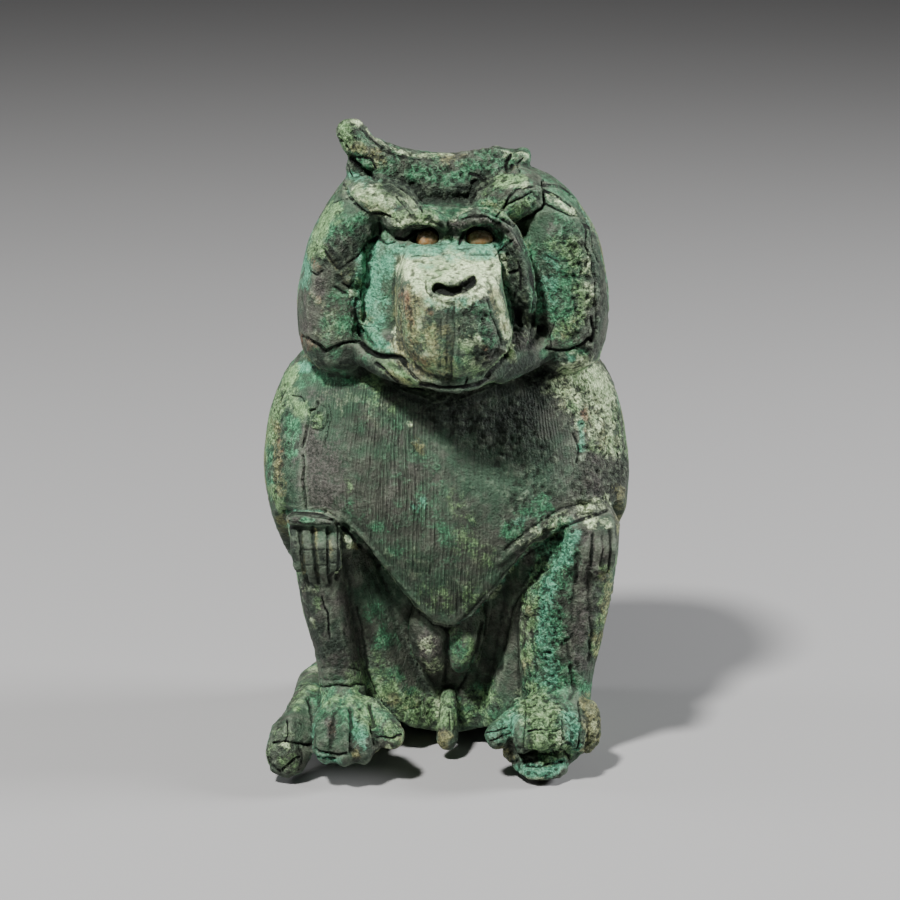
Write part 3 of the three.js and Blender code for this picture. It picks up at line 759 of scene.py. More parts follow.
MUZZLE = Region(
    name="muzzle",
    cuts=(
        Cut(((438, 287.5), (445, 291), (452, 292), (459, 289.5), (466, 285), (472, 280)),
            2.3, 3.2, ragged=0.15, steep=2.2),
        Cut(((426, 282), (427, 291), (432, 296)), 0.9, 0.6, shade=0.3),
        Cut(((434, 296), (444, 299.5), (456, 299), (470, 292), (480, 284)), 0.8, -0.5, ragged=0.2, shade=0.0),
        Cut(((454, 303), (453.5, 321), (454.5, 336), (452.5, 355), (451, 378)),
            0.7, 0.5, ragged=0.3, shade=0.2),
        Cut(((447.5, 310), (447, 335), (446.5, 360), (446, 378)), 0.6, 0.3, ragged=0.3, shade=0.15),
        Cut(((450.5, 306), (450, 340), (449, 378)), 3.0, 0.6, ragged=0.2, shade=0.15),
        Cut(((441, 318), (440.5, 345), (440, 368)), 0.4, 0.3, ragged=0.2, shade=0.3),
        Cut(((459, 318), (459.5, 340), (458, 365)), 0.4, 0.25, ragged=0.2, shade=0.2),
        Cut(((397.5, 294), (396.5, 320), (395, 345), (397, 358)), 0.9, -0.6, ragged=0.2, shade=0.0),
        Cut(((402, 290), (401.5, 312), (400.5, 335)), 0.5, 0.6, ragged=0.3, shade=0.6),
        Cut(((492, 278), (498, 296), (505, 317), (512, 338)), 1.6, -0.8, ragged=0.3, shade=0.0),
        Cut(((487, 300), (494, 322), (502, 340), (503, 352)), 0.6, 0.5, shade=0.5),
        Cut(((420, 384), (436, 387), (449, 387.5), (464, 387), (478, 384.5), (488, 378)), 1.0, 1.6),
        Cut(((404, 363), (410, 373), (419, 381)), 0.6, 1.0, shade=0.8),
        Cut(((362, 344), (369, 351), (376, 354.5), (384, 356.5), (392, 357), (400, 357.5), (405, 364)),
            1.3, 2.4, lift=0.3, ragged=0.3, steep=1.5),
        Cut(((376, 363), (388, 373), (400, 384), (412, 388), (424, 390)), 0.7, 1.1, ragged=0.4),
        Cut(((488, 377), (495, 368), (501, 360), (507, 354)), 1.5, 2.0),
        Cut(((465, 384), (468, 377)), 0.5, 0.7),
        Cut(((400, 390), (416, 396), (432, 401), (449, 402), (474, 396), (494, 386), (512, 368)),
            0.6, -0.4, shade=0.0),
        Cut(((405, 257), (430, 258.5), (470, 257), (492, 256)), 0.6, -0.3, shade=0.0),
    ),
    bosses=(
        Boss(503, 350, 5, 5, 1.4),
        Boss(512, 354, 4, 7, 2.2, -25),
        Boss(497, 268, 7, 10, 1.0),
        Boss(450, 276, 20, 7, 0.5),
        Boss(425, 345, 22, 30, 0.4),
        Boss(478, 345, 20, 30, 0.4),
        Boss(396, 372, 16, 6, 0.7, 30),
    ),
    stains=(
        Stain(PALE, ((410, 266), (430, 272), (470, 268), (490, 264)), 19, 1.0),
        Stain(LIME, ((432, 272), (462, 277)), 14, 0.32),
        Stain(TEAL, ((408, 255), (450, 257), (494, 255)), 6, 0.7),
        Stain(TEAL, ((422, 264), (440, 266)), 7, 0.35),
        Stain(PALE, ((418, 290), (428, 302), (470, 298), (482, 288)), 8, 0.7),
        Stain(TEAL, ((430, 302), (452, 306), (476, 300)), 8, 0.45),
        Stain(PALE, ((395, 296), (395, 330), (394, 350)), 3, 0.6),
        Stain(PALE, ((492, 280), (499, 305), (509, 335)), 5, 1.0),
        Stain(PALE, ((510, 348), (513, 360)), 6, 1.0),
        Stain(OCHRE, ((400, 340), (408, 362), (428, 378)), 13, 0.6),
        Stain(OCHRE, ((494, 290), (505, 325)), 6, 0.6),
        Stain(OCHRE, ((408, 300), (415, 330), (430, 350)), 18, 0.6),
        Stain(OCHRE, ((436, 325), (442, 350), (444, 370)), 14, 0.4),
        Stain(RUST, ((404, 296), (410, 310)), 6, 0.7),
        Stain(RUST, ((430, 311),), 5, 0.7),
        Stain(RUST, ((412, 322),), 4, 0.5),
        Stain(RUST, ((405, 318), (412, 345), (418, 368)), 7, 0.3),
        Stain(RUST, ((423, 356), (427, 364)), 4, 0.6),
        Stain(RUST, ((486, 348),), 6, 0.5),
        Stain(SOOT, ((451, 312), (450, 375)), 5, 0.5),
        Stain(SOOT, ((438, 320), (440, 368)), 3, 0.5),
        Stain(EMERALD, ((405, 320), (440, 350), (470, 370)), 26, 0.2),
        Stain(LIME, ((412, 320), (425, 350), (436, 372)), 24, 0.45),
        Stain(PALE, ((412, 318), (424, 345), (434, 366)), 24, 0.24),
        Stain(PALE, ((470, 330), (474, 366)), 16, 0.26),
        Stain(SOOT, ((472, 310), (484, 335), (478, 360)), 13, 0.3),
        Stain(EMERALD, ((476, 312), (484, 340)), 14, 0.5),
        Stain(UMBER, ((480, 325), (492, 352)), 11, 0.7),
        Stain(LIME, ((465, 350), (475, 372)), 9, 0.5),
        Stain(CRUST, ((472, 310), (488, 355)), 18, 0.9),
        Stain(CRUST, ((420, 268), (480, 268)), 18, 0.3),
        Stain(CRUST, ((405, 300), (410, 360)), 12, 0.4),
        Stain(LIME, ((382, 362), (398, 373), (415, 384)), 7, 0.9),
        Stain(OCHRE, ((390, 372), (408, 384)), 5, 0.7),
        # Painted shade under the jaw and the jowls, and in the hollow beside the chip.
        Stain(SOOT, ((380, 378), (420, 402), (470, 402), (500, 386)), 8, 0.9),
        Stain(SOOT, ((492, 372), (503, 360)), 6, 0.9),
        Stain(SOOT, ((498, 390), (520, 382), (542, 370), (558, 358)), 14, 0.95),
        Stain(SOOT, ((510, 372), (530, 362)), 12, 0.8),
    ),
)

MANTLE = Region(
    name="mantle",
    cuts=(
        Cut(((317.5, 402), (316.5, 408), (309.5, 410.5), (308.5, 419), (306, 433), (302, 447)),
            0.65, 1.9, ragged=0.2),
        Cut(((303, 456), (304, 466), (303.3, 480), (304.6, 494), (306, 510)), 0.65, 1.9, ragged=0.2),
        Cut(((292, 395.5), (301, 397), (305, 402)), 0.4, 0.6, ragged=0.3),
        Cut(((330, 406), (331, 419), (327, 430), (325, 446)), 0.4, 0.5, ragged=0.5, shade=0.7),
        Cut(((318, 404), (327, 408), (328, 420), (322, 430), (312, 428)), 0.4, 0.4, lift=0.25, shade=0.5),
        Cut(((284, 512), (305, 512.5), (323, 515), (333.6, 521), (342, 526.4), (349, 533), (361, 546)),
            0.9, 1.7, lift=-0.4, ragged=0.25),
        Cut(((361, 546), (376, 560), (390, 574), (405, 592), (419, 611)), 0.8, 0.5, ragged=0.3, shade=0.35),
        Cut(((419, 611), (432, 623), (446, 629), (458, 624), (466, 616)), 0.9, 0.5, ragged=0.3, shade=0.6),
        Cut(((466, 616), (478, 603), (492, 588), (507, 571), (521, 557), (539, 547), (552, 538)),
            0.9, 0.5, shade=0.5),
        Cut(((552, 536.6), (567.6, 524.7), (592.6, 515), (607, 510.5)), 0.9, 1.6, ragged=0.3),
        Cut(((400, 581), (418, 600), (434, 613), (447, 617), (460, 612), (476, 594), (490, 577)),
            1.8, -0.25, ragged=0.2, shade=0.0),
        Cut(((290, 506), (325, 508), (345, 517), (365, 538), (388, 566)), 1.3, -0.4, ragged=0.2, shade=0.0),
        Cut(((500, 561), (520, 544), (545, 528), (575, 513), (604, 503)), 1.8, -0.7, ragged=0.3, shade=0.0),
        Cut(((505, 550), (530, 528), (560, 510), (590, 501)), 0.9, 0.6, ragged=0.3, shade=0.2),
        Cut(((412, 444), (415, 450), (411, 455)), 0.6, 0.4, shade=0.5),
        Cut(((574, 434), (580, 450), (577, 462)), 0.9, 0.8, shade=0.7),
    ),
    bosses=(
        Boss(318, 417, 10, 13, 0.5),
        Boss(409, 424, 4, 5, 0.5),
        Boss(415, 442, 5, 4, 0.5),
        Boss(300, 470, 20, 40, 0.3),
        Boss(350, 531, 6, 4, 0.9),
        Boss(345, 537, 4, 3, 0.7),
    ),
    stains=(
        Stain(LIME, ((293, 372), (278, 392), (272, 420), (270, 440)), 9, 1.0),
        Stain(EMERALD, ((270, 440), (269, 490)), 6, 0.7),
        Stain(TEAL, ((298, 368), (310, 366)), 7, 0.9),
        Stain(LIME, ((290, 392), (300, 412)), 10, 0.6),
        Stain(LIME, ((318, 417),), 11, 0.7),
        Stain(EMERALD, ((291, 420), (292, 450)), 9, 0.75),
        Stain(OCHRE, ((277, 425), (278, 460), (281, 490)), 6, 0.6),
        Stain(RUST, ((280, 440), (281, 475)), 4, 0.4),
        Stain(EMERALD, ((300, 376), (340, 374), (370, 384)), 15, 0.5),
        Stain(EMERALD, ((380, 420), (410, 470), (450, 560)), 46, 0.2),
        Stain(LIME, ((272, 490), (282, 510)), 5, 1.0),
        Stain(UMBER, ((303, 440), (312, 465), (318, 500)), 19, 1.0),
        Stain(UMBER, ((316, 388), (336, 395)), 16, 0.3),
        # Pale on the left shoulder's top, partly patina and partly painted light.
        Stain(PALE, ((335, 392), (352, 396), (368, 412)), 26, 0.13),
        Stain(UMBER, ((335, 450), (345, 500)), 18, 0.5),
        Stain(UMBER, ((390, 440), (405, 500)), 30, 0.3),
        Stain(PALE, ((408, 422), (411, 425)), 3, 0.35),
        Stain(LIME, ((370, 385), (392, 400)), 18, 0.32),
        Stain(OCHRE, ((414, 440), (422, 450)), 7, 0.4),
        Stain(EMERALD, ((352, 505), (372, 520), (400, 545)), 16, 0.3),
        Stain(EMERALD, ((430, 480), (440, 540)), 24, 0.25),
        Stain(LIME, ((348, 480), (350, 490)), 4, 0.6),
        Stain(TEAL, ((413, 506), (424, 500)), 4, 0.7),
        Stain(LIME, ((430, 596), (455, 604), (474, 590)), 18, 0.35),
        Stain(LIME, ((465, 545), (492, 560)), 18, 0.3),
        Stain(PALE, ((400, 560), (450, 592), (482, 560)), 32, 0.12),
        Stain(LIME, ((455, 500), (470, 530)), 14, 0.3),
        Stain(EMERALD, ((505, 530), (522, 518), (545, 506)), 14, 0.5),
        Stain(TEAL, ((508, 528), (535, 512)), 7, 0.22),
        Stain(CRUST, ((560, 385), (600, 420), (610, 460), (590, 490)), 28, 1.0),
        Stain(CRUST, ((520, 420), (540, 480), (520, 530)), 30, 0.5),
        Stain(CRUST, ((440, 400), (500, 440)), 26, 0.6),
        Stain(CRUST, ((278, 390), (278, 490)), 12, 0.8),
        Stain(CRUST, ((318, 417),), 11, 0.7),
        Stain(LIME, ((572, 385), (598, 400), (610, 440)), 24, 0.3),
        Stain(PALE, ((572, 372), (590, 378), (602, 398)), 19, 0.95),
        # Pale and ochre on the right shoulder, partly patina and partly painted light on its lit side.
        Stain(PALE, ((560, 385), (578, 405), (596, 425)), 18, 0.55),
        Stain(OCHRE, ((560, 390), (590, 412), (606, 440)), 22, 0.25),
        Stain(PALE, ((605, 410), (612, 450)), 11, 0.6),
        Stain(PALE, ((580, 508), (605, 503)), 8, 0.45),
        Stain(LIME, ((571, 404), (575, 408)), 6, 1.0),
        Stain(TEAL, ((581, 425), (582, 448)), 5, 0.9),
        Stain(RUST, ((585, 413), (586, 416)), 5, 1.0),
        Stain(RUST, ((585, 430),), 3, 0.6),
        Stain(RUST, ((610, 458),), 4, 0.4),
        # Painted shadow of the head on the chest.
        Stain(SOOT, ((430, 396), (470, 420), (520, 422), (530, 395)), 22, 0.85),
        Stain(UMBER, ((595, 462), (592, 490)), 12, 0.7),
        Stain(OCHRE, ((618, 490), (622, 530)), 7, 0.5),
        Stain(UMBER, ((530, 536), (552, 524), (580, 514)), 7, 0.3),
        Stain(PALE, ((520, 542), (545, 526), (580, 511), (602, 504)), 7, 0.35),
    ),
)

HANDS = Region(
    name="hands",
    cuts=(
        Cut(((287.7, 515), (300, 515.5), (316, 516), (330, 518)), 0.4, 0.5, ragged=0.2, shade=0.6),
        Cut(((288, 522), (300, 524), (316, 525.5), (330, 524.5)), 0.45, 0.6, ragged=0.2, shade=0.6),
        *finger_gap(((300, 530), (301.5, 548), (303.5, 566), (306, 580)), 0.4, 0.55),
        *finger_gap(((312.5, 527), (314, 548), (316, 566), (318, 582)), 0.4, 0.55),
        *finger_gap(((327.5, 529), (328, 548), (328.5, 566), (329.5, 580)), 0.45, 0.6),
        # A groove along the hand's side, dark inside as painted shade.
        Cut(((339, 529), (340, 545), (339, 565), (337, 578)), 1.2, 1.0, ragged=0.3, shade=0.5),
        Cut(((294, 545.5), (300, 546)), 0.45, -0.3, ragged=0.1, shade=0.0),
        *level_marks(((303, 312), (316, 326), (330, 337)), 547, 0.45, -0.3, shade=0.0),
        *level_marks(((303, 312), (316, 326), (330, 337)), 550, 0.4, 0.3, shade=0.5),
        *level_marks(((306, 314), (318, 327)), 565, 0.4, 0.3, shade=0.5),
        *level_marks(((331, 336),), 563, 0.4, 0.3, shade=0.5),
        Cut(((308, 583), (316, 587), (324, 586), (330, 582)), 0.9, 0.5, shade=0.2),
        Cut(((593, 534), (592.5, 550), (591, 566)), 0.9, 1.0, ragged=0.4, shade=0.7),
        Cut(((609, 530), (611, 550), (608, 572)), 0.9, 0.9, ragged=0.4, shade=0.7),
        Cut(((602, 536), (602, 552), (600, 566)), 0.6, 0.5, ragged=0.4, shade=0.4),
    ),
    bosses=(
        Boss(308, 519, 27, 7, -0.8),
        Boss(349, 541, 7, 8, 1.0),
        Boss(306.5, 542, 5, 9, 0.3),
        Boss(320.5, 542, 6, 9, 0.4),
        Boss(333.5, 542, 4.5, 9, 0.4),
        Boss(585, 552, 6, 18, 0.5),
        Boss(601, 550, 7, 18, 0.5),
    ),
    stains=(
        Stain(UMBER, ((298, 545), (318, 560), (332, 570)), 16, 1.0),
        Stain(SOOT, ((292, 540), (312, 556), (334, 566)), 18, 0.8),
        Stain(EMERALD, ((303, 519.5), (312, 520)), 4, 0.9),
        Stain(UMBER, ((288, 519), (330, 521)), 5, 0.8),
        Stain(OCHRE, ((281, 520), (286, 532)), 6, 0.9),
        Stain(OCHRE, ((302, 535), (304, 575)), 1.8, 0.9),
        Stain(OCHRE, ((315.5, 530), (318, 575)), 1.8, 0.9),
        Stain(OCHRE, ((330, 532), (331, 560)), 1.8, 0.5),
        Stain(OCHRE, ((354, 546), (356, 548)), 3, 1.0),
        Stain(PALE, ((344, 535), (350, 545)), 4, 0.6),
        Stain(PALE, ((590, 524), (608, 522)), 7, 0.6),
        Stain(TEAL, ((575, 530), (565, 560)), 10, 0.85),
        Stain(UMBER, ((585, 540), (603, 550), (598, 575)), 12, 0.9),
        Stain(CRUST, ((570, 535), (568, 570)), 12, 1.0),
        Stain(CRUST, ((290, 570), (300, 585)), 7, 0.7),
    ),
)

LEGS = Region(
    name="legs and belly",
    cuts=(
        Cut(((322, 597), (324, 606.7), (327.8, 613.4), (329.3, 639)), 0.45, 0.8, ragged=0.3),
        Cut(((357, 608), (361, 625), (365, 645), (367, 666), (374, 691), (384, 707)), 0.9, 0.7, shade=0.45),
        Cut(((369, 562), (380, 581), (395, 609), (407, 640), (420, 668), (434, 692)),
            1.8, -0.5, ragged=0.3, shade=0.0),
        Cut(((322, 668), (345, 667), (362, 670)), 0.6, 0.4, shade=0.4),
        Cut(((319, 678), (330, 680), (342, 680), (352, 677)), 0.5, 0.45, shade=0.5),
        Cut(((320, 686.5), (336, 685.5), (350, 686.5), (357, 683.5), (365, 684.5)), 0.6, 1.0, shade=0.9),
        Cut(((447, 628), (447.5, 645), (446.5, 665), (445, 680)), 1.4, 1.0, shade=0.5),
        Cut(((482, 622), (478, 645), (470, 668), (458, 690)), 1.0, 0.7, shade=0.5),
        Cut(((488, 592), (491, 606), (486, 624), (482, 644), (477, 664)), 0.8, -0.5, ragged=0.3, shade=0.0),
        Cut(((524, 607), (520.5, 634), (522, 653), (529, 678)), 1.0, -0.7, ragged=0.6, shade=0.0),
        Cut(((530, 628), (532, 645), (534, 665), (536, 676)), 1.0, 1.0, ragged=0.6, shade=0.35),
        Cut(((566, 640), (570, 665), (575, 690), (571, 697)), 1.3, 1.0, ragged=0.6, shade=0.3),
        Cut(((590, 570), (588, 600), (592, 630), (589, 660)), 1.2, 0.7, ragged=0.6, shade=0.25),
        Cut(((578, 560), (573, 590), (571, 620)), 1.2, 0.6, ragged=0.6, shade=0.2),
        Cut(((560, 537), (559, 551), (552, 564), (537, 575), (524, 590), (513, 607), (506, 631), (500, 668)),
            1.2, 0.8, ragged=0.5, shade=0.3),
        Cut(((540, 566), (526, 584), (518, 604)), 1.4, -0.6, shade=0.0),
    ),
    bosses=(
        Boss(431, 652, 14, 28, 0.6, -6),
        Boss(463, 648, 12, 28, 0.5, 8),
        Boss(312, 620, 4, 5, 0.5),
        Boss(308, 589, 5, 6, 0.5),
        Boss(552, 600, 12, 16, 0.8),
        Boss(529, 611, 6, 6, 0.9),
        Boss(543, 650, 12, 18, 0.7),
    ),
    stains=(
        Stain(UMBER, ((310, 600), (318, 630), (335, 655), (350, 668)), 17, 1.0),
        Stain(UMBER, ((345, 600), (360, 650)), 12, 0.6),
        Stain(SOOT, ((303, 596), (318, 630), (338, 655)), 22, 0.75),
        # Dark on the thigh under the hem, partly patina and partly painted shade.
        Stain(SOOT, ((350, 560), (372, 585), (395, 630), (405, 665)), 12, 0.4),
        Stain(UMBER, ((525, 555), (545, 545)), 13, 0.9),
        # Painted shade beside the lobe on the figure's left.
        Stain(SOOT, ((490, 600), (505, 590)), 10, 0.4),
        Stain(PALE, ((312, 620), (313, 626)), 4, 0.9),
        Stain(PALE, ((306, 588), (312, 592)), 5, 0.5),
        Stain(LIME, ((316, 590), (318, 610)), 6, 0.4),
        Stain(LIME, ((312, 687), (318, 690)), 6, 1.0),
        Stain(EMERALD, ((370, 610), (385, 640)), 16, 0.4),
        Stain(UMBER, ((428, 640), (432, 675)), 16, 0.8),
        Stain(PALE, ((428, 640), (433, 664)), 13, 0.32),
        # Painted shade under the lobes, and beside them.
        Stain(SOOT, ((416, 672), (432, 688), (452, 686), (468, 676)), 12, 0.8),
        Stain(SOOT, ((410, 636), (415, 665)), 7, 0.6),
        Stain(PALE, ((426, 650), (428, 655)), 5, 0.4),
        Stain(EMERALD, ((458, 640), (465, 670)), 16, 0.4),
        Stain(LIME, ((458, 632), (466, 655)), 14, 0.3),
        Stain(LIME, ((385, 700), (410, 712), (440, 717)), 17, 0.75),
        Stain(EMERALD, ((380, 680), (420, 705), (480, 700)), 22, 0.5),
        Stain(LIME, ((372, 684), (395, 698), (430, 708), (480, 704)), 28, 0.5),
        Stain(PALE, ((385, 694), (410, 702), (430, 708)), 22, 0.22),
        Stain(PALE, ((380, 640), (392, 668)), 14, 0.12),
        Stain(OCHRE, ((390, 700), (410, 700)), 12, 0.4),
        Stain(LIME, ((450, 705), (480, 705)), 12, 0.55),
        Stain(CRUST, ((390, 705), (430, 715), (480, 708)), 20, 0.4),
        Stain(OCHRE, ((443, 738), (440, 746)), 9, 0.9),
        Stain(EMERALD, ((562, 540), (550, 590), (545, 650), (550, 685)), 24, 0.8),
        Stain(TEAL, ((556, 556), (548, 600), (545, 650), (548, 680)), 13, 0.55),
        Stain(LIME, ((545, 565), (530, 600), (526, 660)), 10, 0.5),
        Stain(OCHRE, ((529, 610), (531, 614)), 6, 0.5),
        Stain(OCHRE, ((525, 660), (530, 672)), 7, 0.45),
        Stain(UMBER, ((585, 560), (582, 620), (580, 665)), 13, 0.75),
        Stain(OCHRE, ((606, 575), (610, 600), (602, 640)), 8, 0.6),
        Stain(LIME, ((604, 570), (606, 610), (598, 650)), 9, 0.5),
        Stain(OCHRE, ((594, 635), (597, 655)), 6, 0.5),
        Stain(CRUST, ((560, 540), (550, 600), (555, 670)), 30, 1.0),
        Stain(CRUST, ((595, 580), (595, 650)), 14, 0.6),
        Stain(EMERALD, ((572, 680), (585, 690)), 10, 0.7),
    ),
)

FEET = Region(
    name="feet and tail",
    cuts=(
        Cut(((350, 711), (352, 724), (352, 738), (353, 752)), 1.5, 1.3, ragged=0.4, shade=0.4),
        Cut(((369, 706), (372, 718), (374, 730), (377, 744)), 1.5, 1.5, ragged=0.4, shade=0.5),
        Cut(((334, 714), (332, 730), (330.5, 748)), 1.3, 0.8, ragged=0.4, shade=0.35),
        Cut(((313, 748), (326, 753), (338, 754.5), (347, 752.5)), 0.6, 1.1),
        Cut(((315, 756), (324, 758), (335, 758.5)), 0.6, 1.0),
        Cut(((378, 736.5), (393, 737.5), (401, 734.5)), 0.5, 0.8),
        Cut(((324, 689), (331, 701), (336, 708)), 0.4, -0.4, shade=0.0),
        Cut(((273, 743), (284, 740), (298, 743.5), (309, 744)), 0.6, 1.1, lift=-0.3),
        Cut(((287, 720), (287.5, 733), (285, 742)), 0.5, 0.8),
        Cut(((299, 744), (303, 757), (298, 770)), 0.4, 0.6),
        Cut(((267, 752), (271, 766), (281, 772), (287, 768)), 0.45, 0.9),
        Cut(((283, 771), (289, 763), (300, 757)), 0.5, 0.9),
        Cut(((309, 700), (312, 720), (311, 745)), 1.0, 0.8, shade=0.6),
        Cut(((449, 712), (449.5, 720), (450, 729)), 0.6, 0.6, ragged=0.2, shade=0.6),
        Cut(((526, 703), (525, 728), (524, 748)), 0.5, 0.6, ragged=0.5, shade=0.45),
        Cut(((528, 731), (543, 729.5), (559, 729.5)), 0.5, 1.0, ragged=0.5),
        Cut(((562, 716), (562.5, 730), (562, 747)), 0.5, 0.7, ragged=0.6, shade=0.7),
        Cut(((544, 707), (543, 720), (545, 729)), 0.4, 0.3, shade=0.3),
        Cut(((481, 733), (493, 731), (507, 728)), 0.5, 0.8),
        Cut(((490, 741), (502, 736), (511, 733)), 0.5, 0.9),
        Cut(((526, 752), (538, 750.5), (548, 754), (560, 750), (570, 757)), 0.9, 1.0, shade=0.8),
        Cut(((526, 766), (541, 766.5), (549, 763), (562, 761)), 0.7, 0.9, shade=0.8),
        Cut(((514, 764), (520, 772), (532, 778), (549, 777), (563, 768)), 0.8, -0.6, shade=0.0),
        Cut(((579, 702), (582, 725), (578, 748)), 0.7, 0.9, ragged=0.7, shade=0.7),
    ),
    bosses=(
        Boss(333, 728, 6, 10, -0.4, 10),
        Boss(342, 734, 9, 18, 0.7),
        Boss(362, 733, 9, 18, 0.8),
        Boss(322, 736, 8, 15, 0.6),
        Boss(388, 727, 9, 19, 0.7, -35),
        Boss(554, 757, 14, 7, 2.0),
        Boss(518, 728, 7, 22, 0.6),
        Boss(356, 755, 4, 3, 0.5),
        Boss(283, 752, 17, 16, 0.5),
        Boss(534, 757, 12, 5, 0.9),
        Boss(503, 753, 8, 7, 0.8),
        Boss(543, 741, 14, 9, 0.6),
        Boss(543, 718, 15, 10, 0.4),
        Boss(590, 712, 8, 10, 0.9),
        Boss(592, 735, 8, 12, 0.9),
        Boss(587, 752, 6, 6, 0.8),
    ),
    stains=(
        Stain(EMERALD, ((330, 700), (355, 710), (385, 725)), 26, 0.6),
        Stain(LIME, ((330, 700), (355, 708), (372, 718)), 16, 0.4),
        Stain(TEAL, ((355, 722), (362, 745)), 9, 0.5),
        Stain(UMBER, ((331, 721), (332, 734)), 6, 1.0),
        Stain(RUST, ((331, 724), (332, 731)), 4, 0.3),
        Stain(LIME, ((380, 712), (398, 735)), 12, 0.6),
        Stain(OCHRE, ((396, 738), (401, 742)), 6, 0.5),
        Stain(PALE, ((387, 746), (390, 748)), 3, 0.9),
        Stain(OCHRE, ((355, 753), (357, 757)), 4, 0.8),
        Stain(TEAL, ((320, 757), (340, 762)), 6, 0.6),
        Stain(CRUST, ((330, 720), (370, 735), (395, 735)), 22, 0.5),
        Stain(LIME, ((303, 680), (297, 705)), 8, 0.6),
        Stain(OCHRE, ((302, 675), (305, 665)), 5, 0.5),
        Stain(UMBER, ((288, 740), (292, 765)), 16, 0.3),
        Stain(LIME, ((280, 735), (290, 762)), 18, 0.35),
        Stain(LIME, ((272, 745), (270, 760)), 7, 0.5),
        Stain(PALE, ((284, 746), (286, 748)), 5, 0.6),
        Stain(CRUST, ((285, 735), (283, 762)), 18, 0.5),
        Stain(EMERALD, ((515, 715), (545, 700), (560, 740)), 26, 0.6),
        Stain(LIME, ((540, 705), (545, 740)), 20, 0.8),
        Stain(LIME, ((548, 758), (566, 752)), 8, 0.7),
        Stain(PALE, ((533, 716), (557, 716)), 11, 0.4),
        Stain(PALE, ((520, 705), (545, 715), (556, 740)), 22, 0.28),
        Stain(PALE, ((536, 738), (555, 744)), 9, 0.55),
        Stain(TEAL, ((495, 735), (508, 722)), 13, 0.5),
        Stain(TEAL, ((570, 715), (574, 745)), 9, 0.8),
        Stain(TEAL, ((520, 768), (545, 772), (562, 764)), 8, 0.9),
        Stain(PALE, ((522, 777), (540, 780)), 5, 0.7),
        Stain(OCHRE, ((502, 752), (506, 758)), 8, 0.7),
        Stain(OCHRE, ((586, 700), (594, 725), (590, 748)), 9, 1.0),
        Stain(PALE, ((592, 722), (590, 742)), 6, 0.6),
        Stain(CRUST, ((540, 700), (560, 740), (590, 730)), 26, 1.0),
        Stain(CRUST, ((500, 735), (520, 768), (555, 772)), 14, 0.8),
        Stain(EMERALD, ((545, 757), (560, 755)), 7, 0.8),
    ),
)


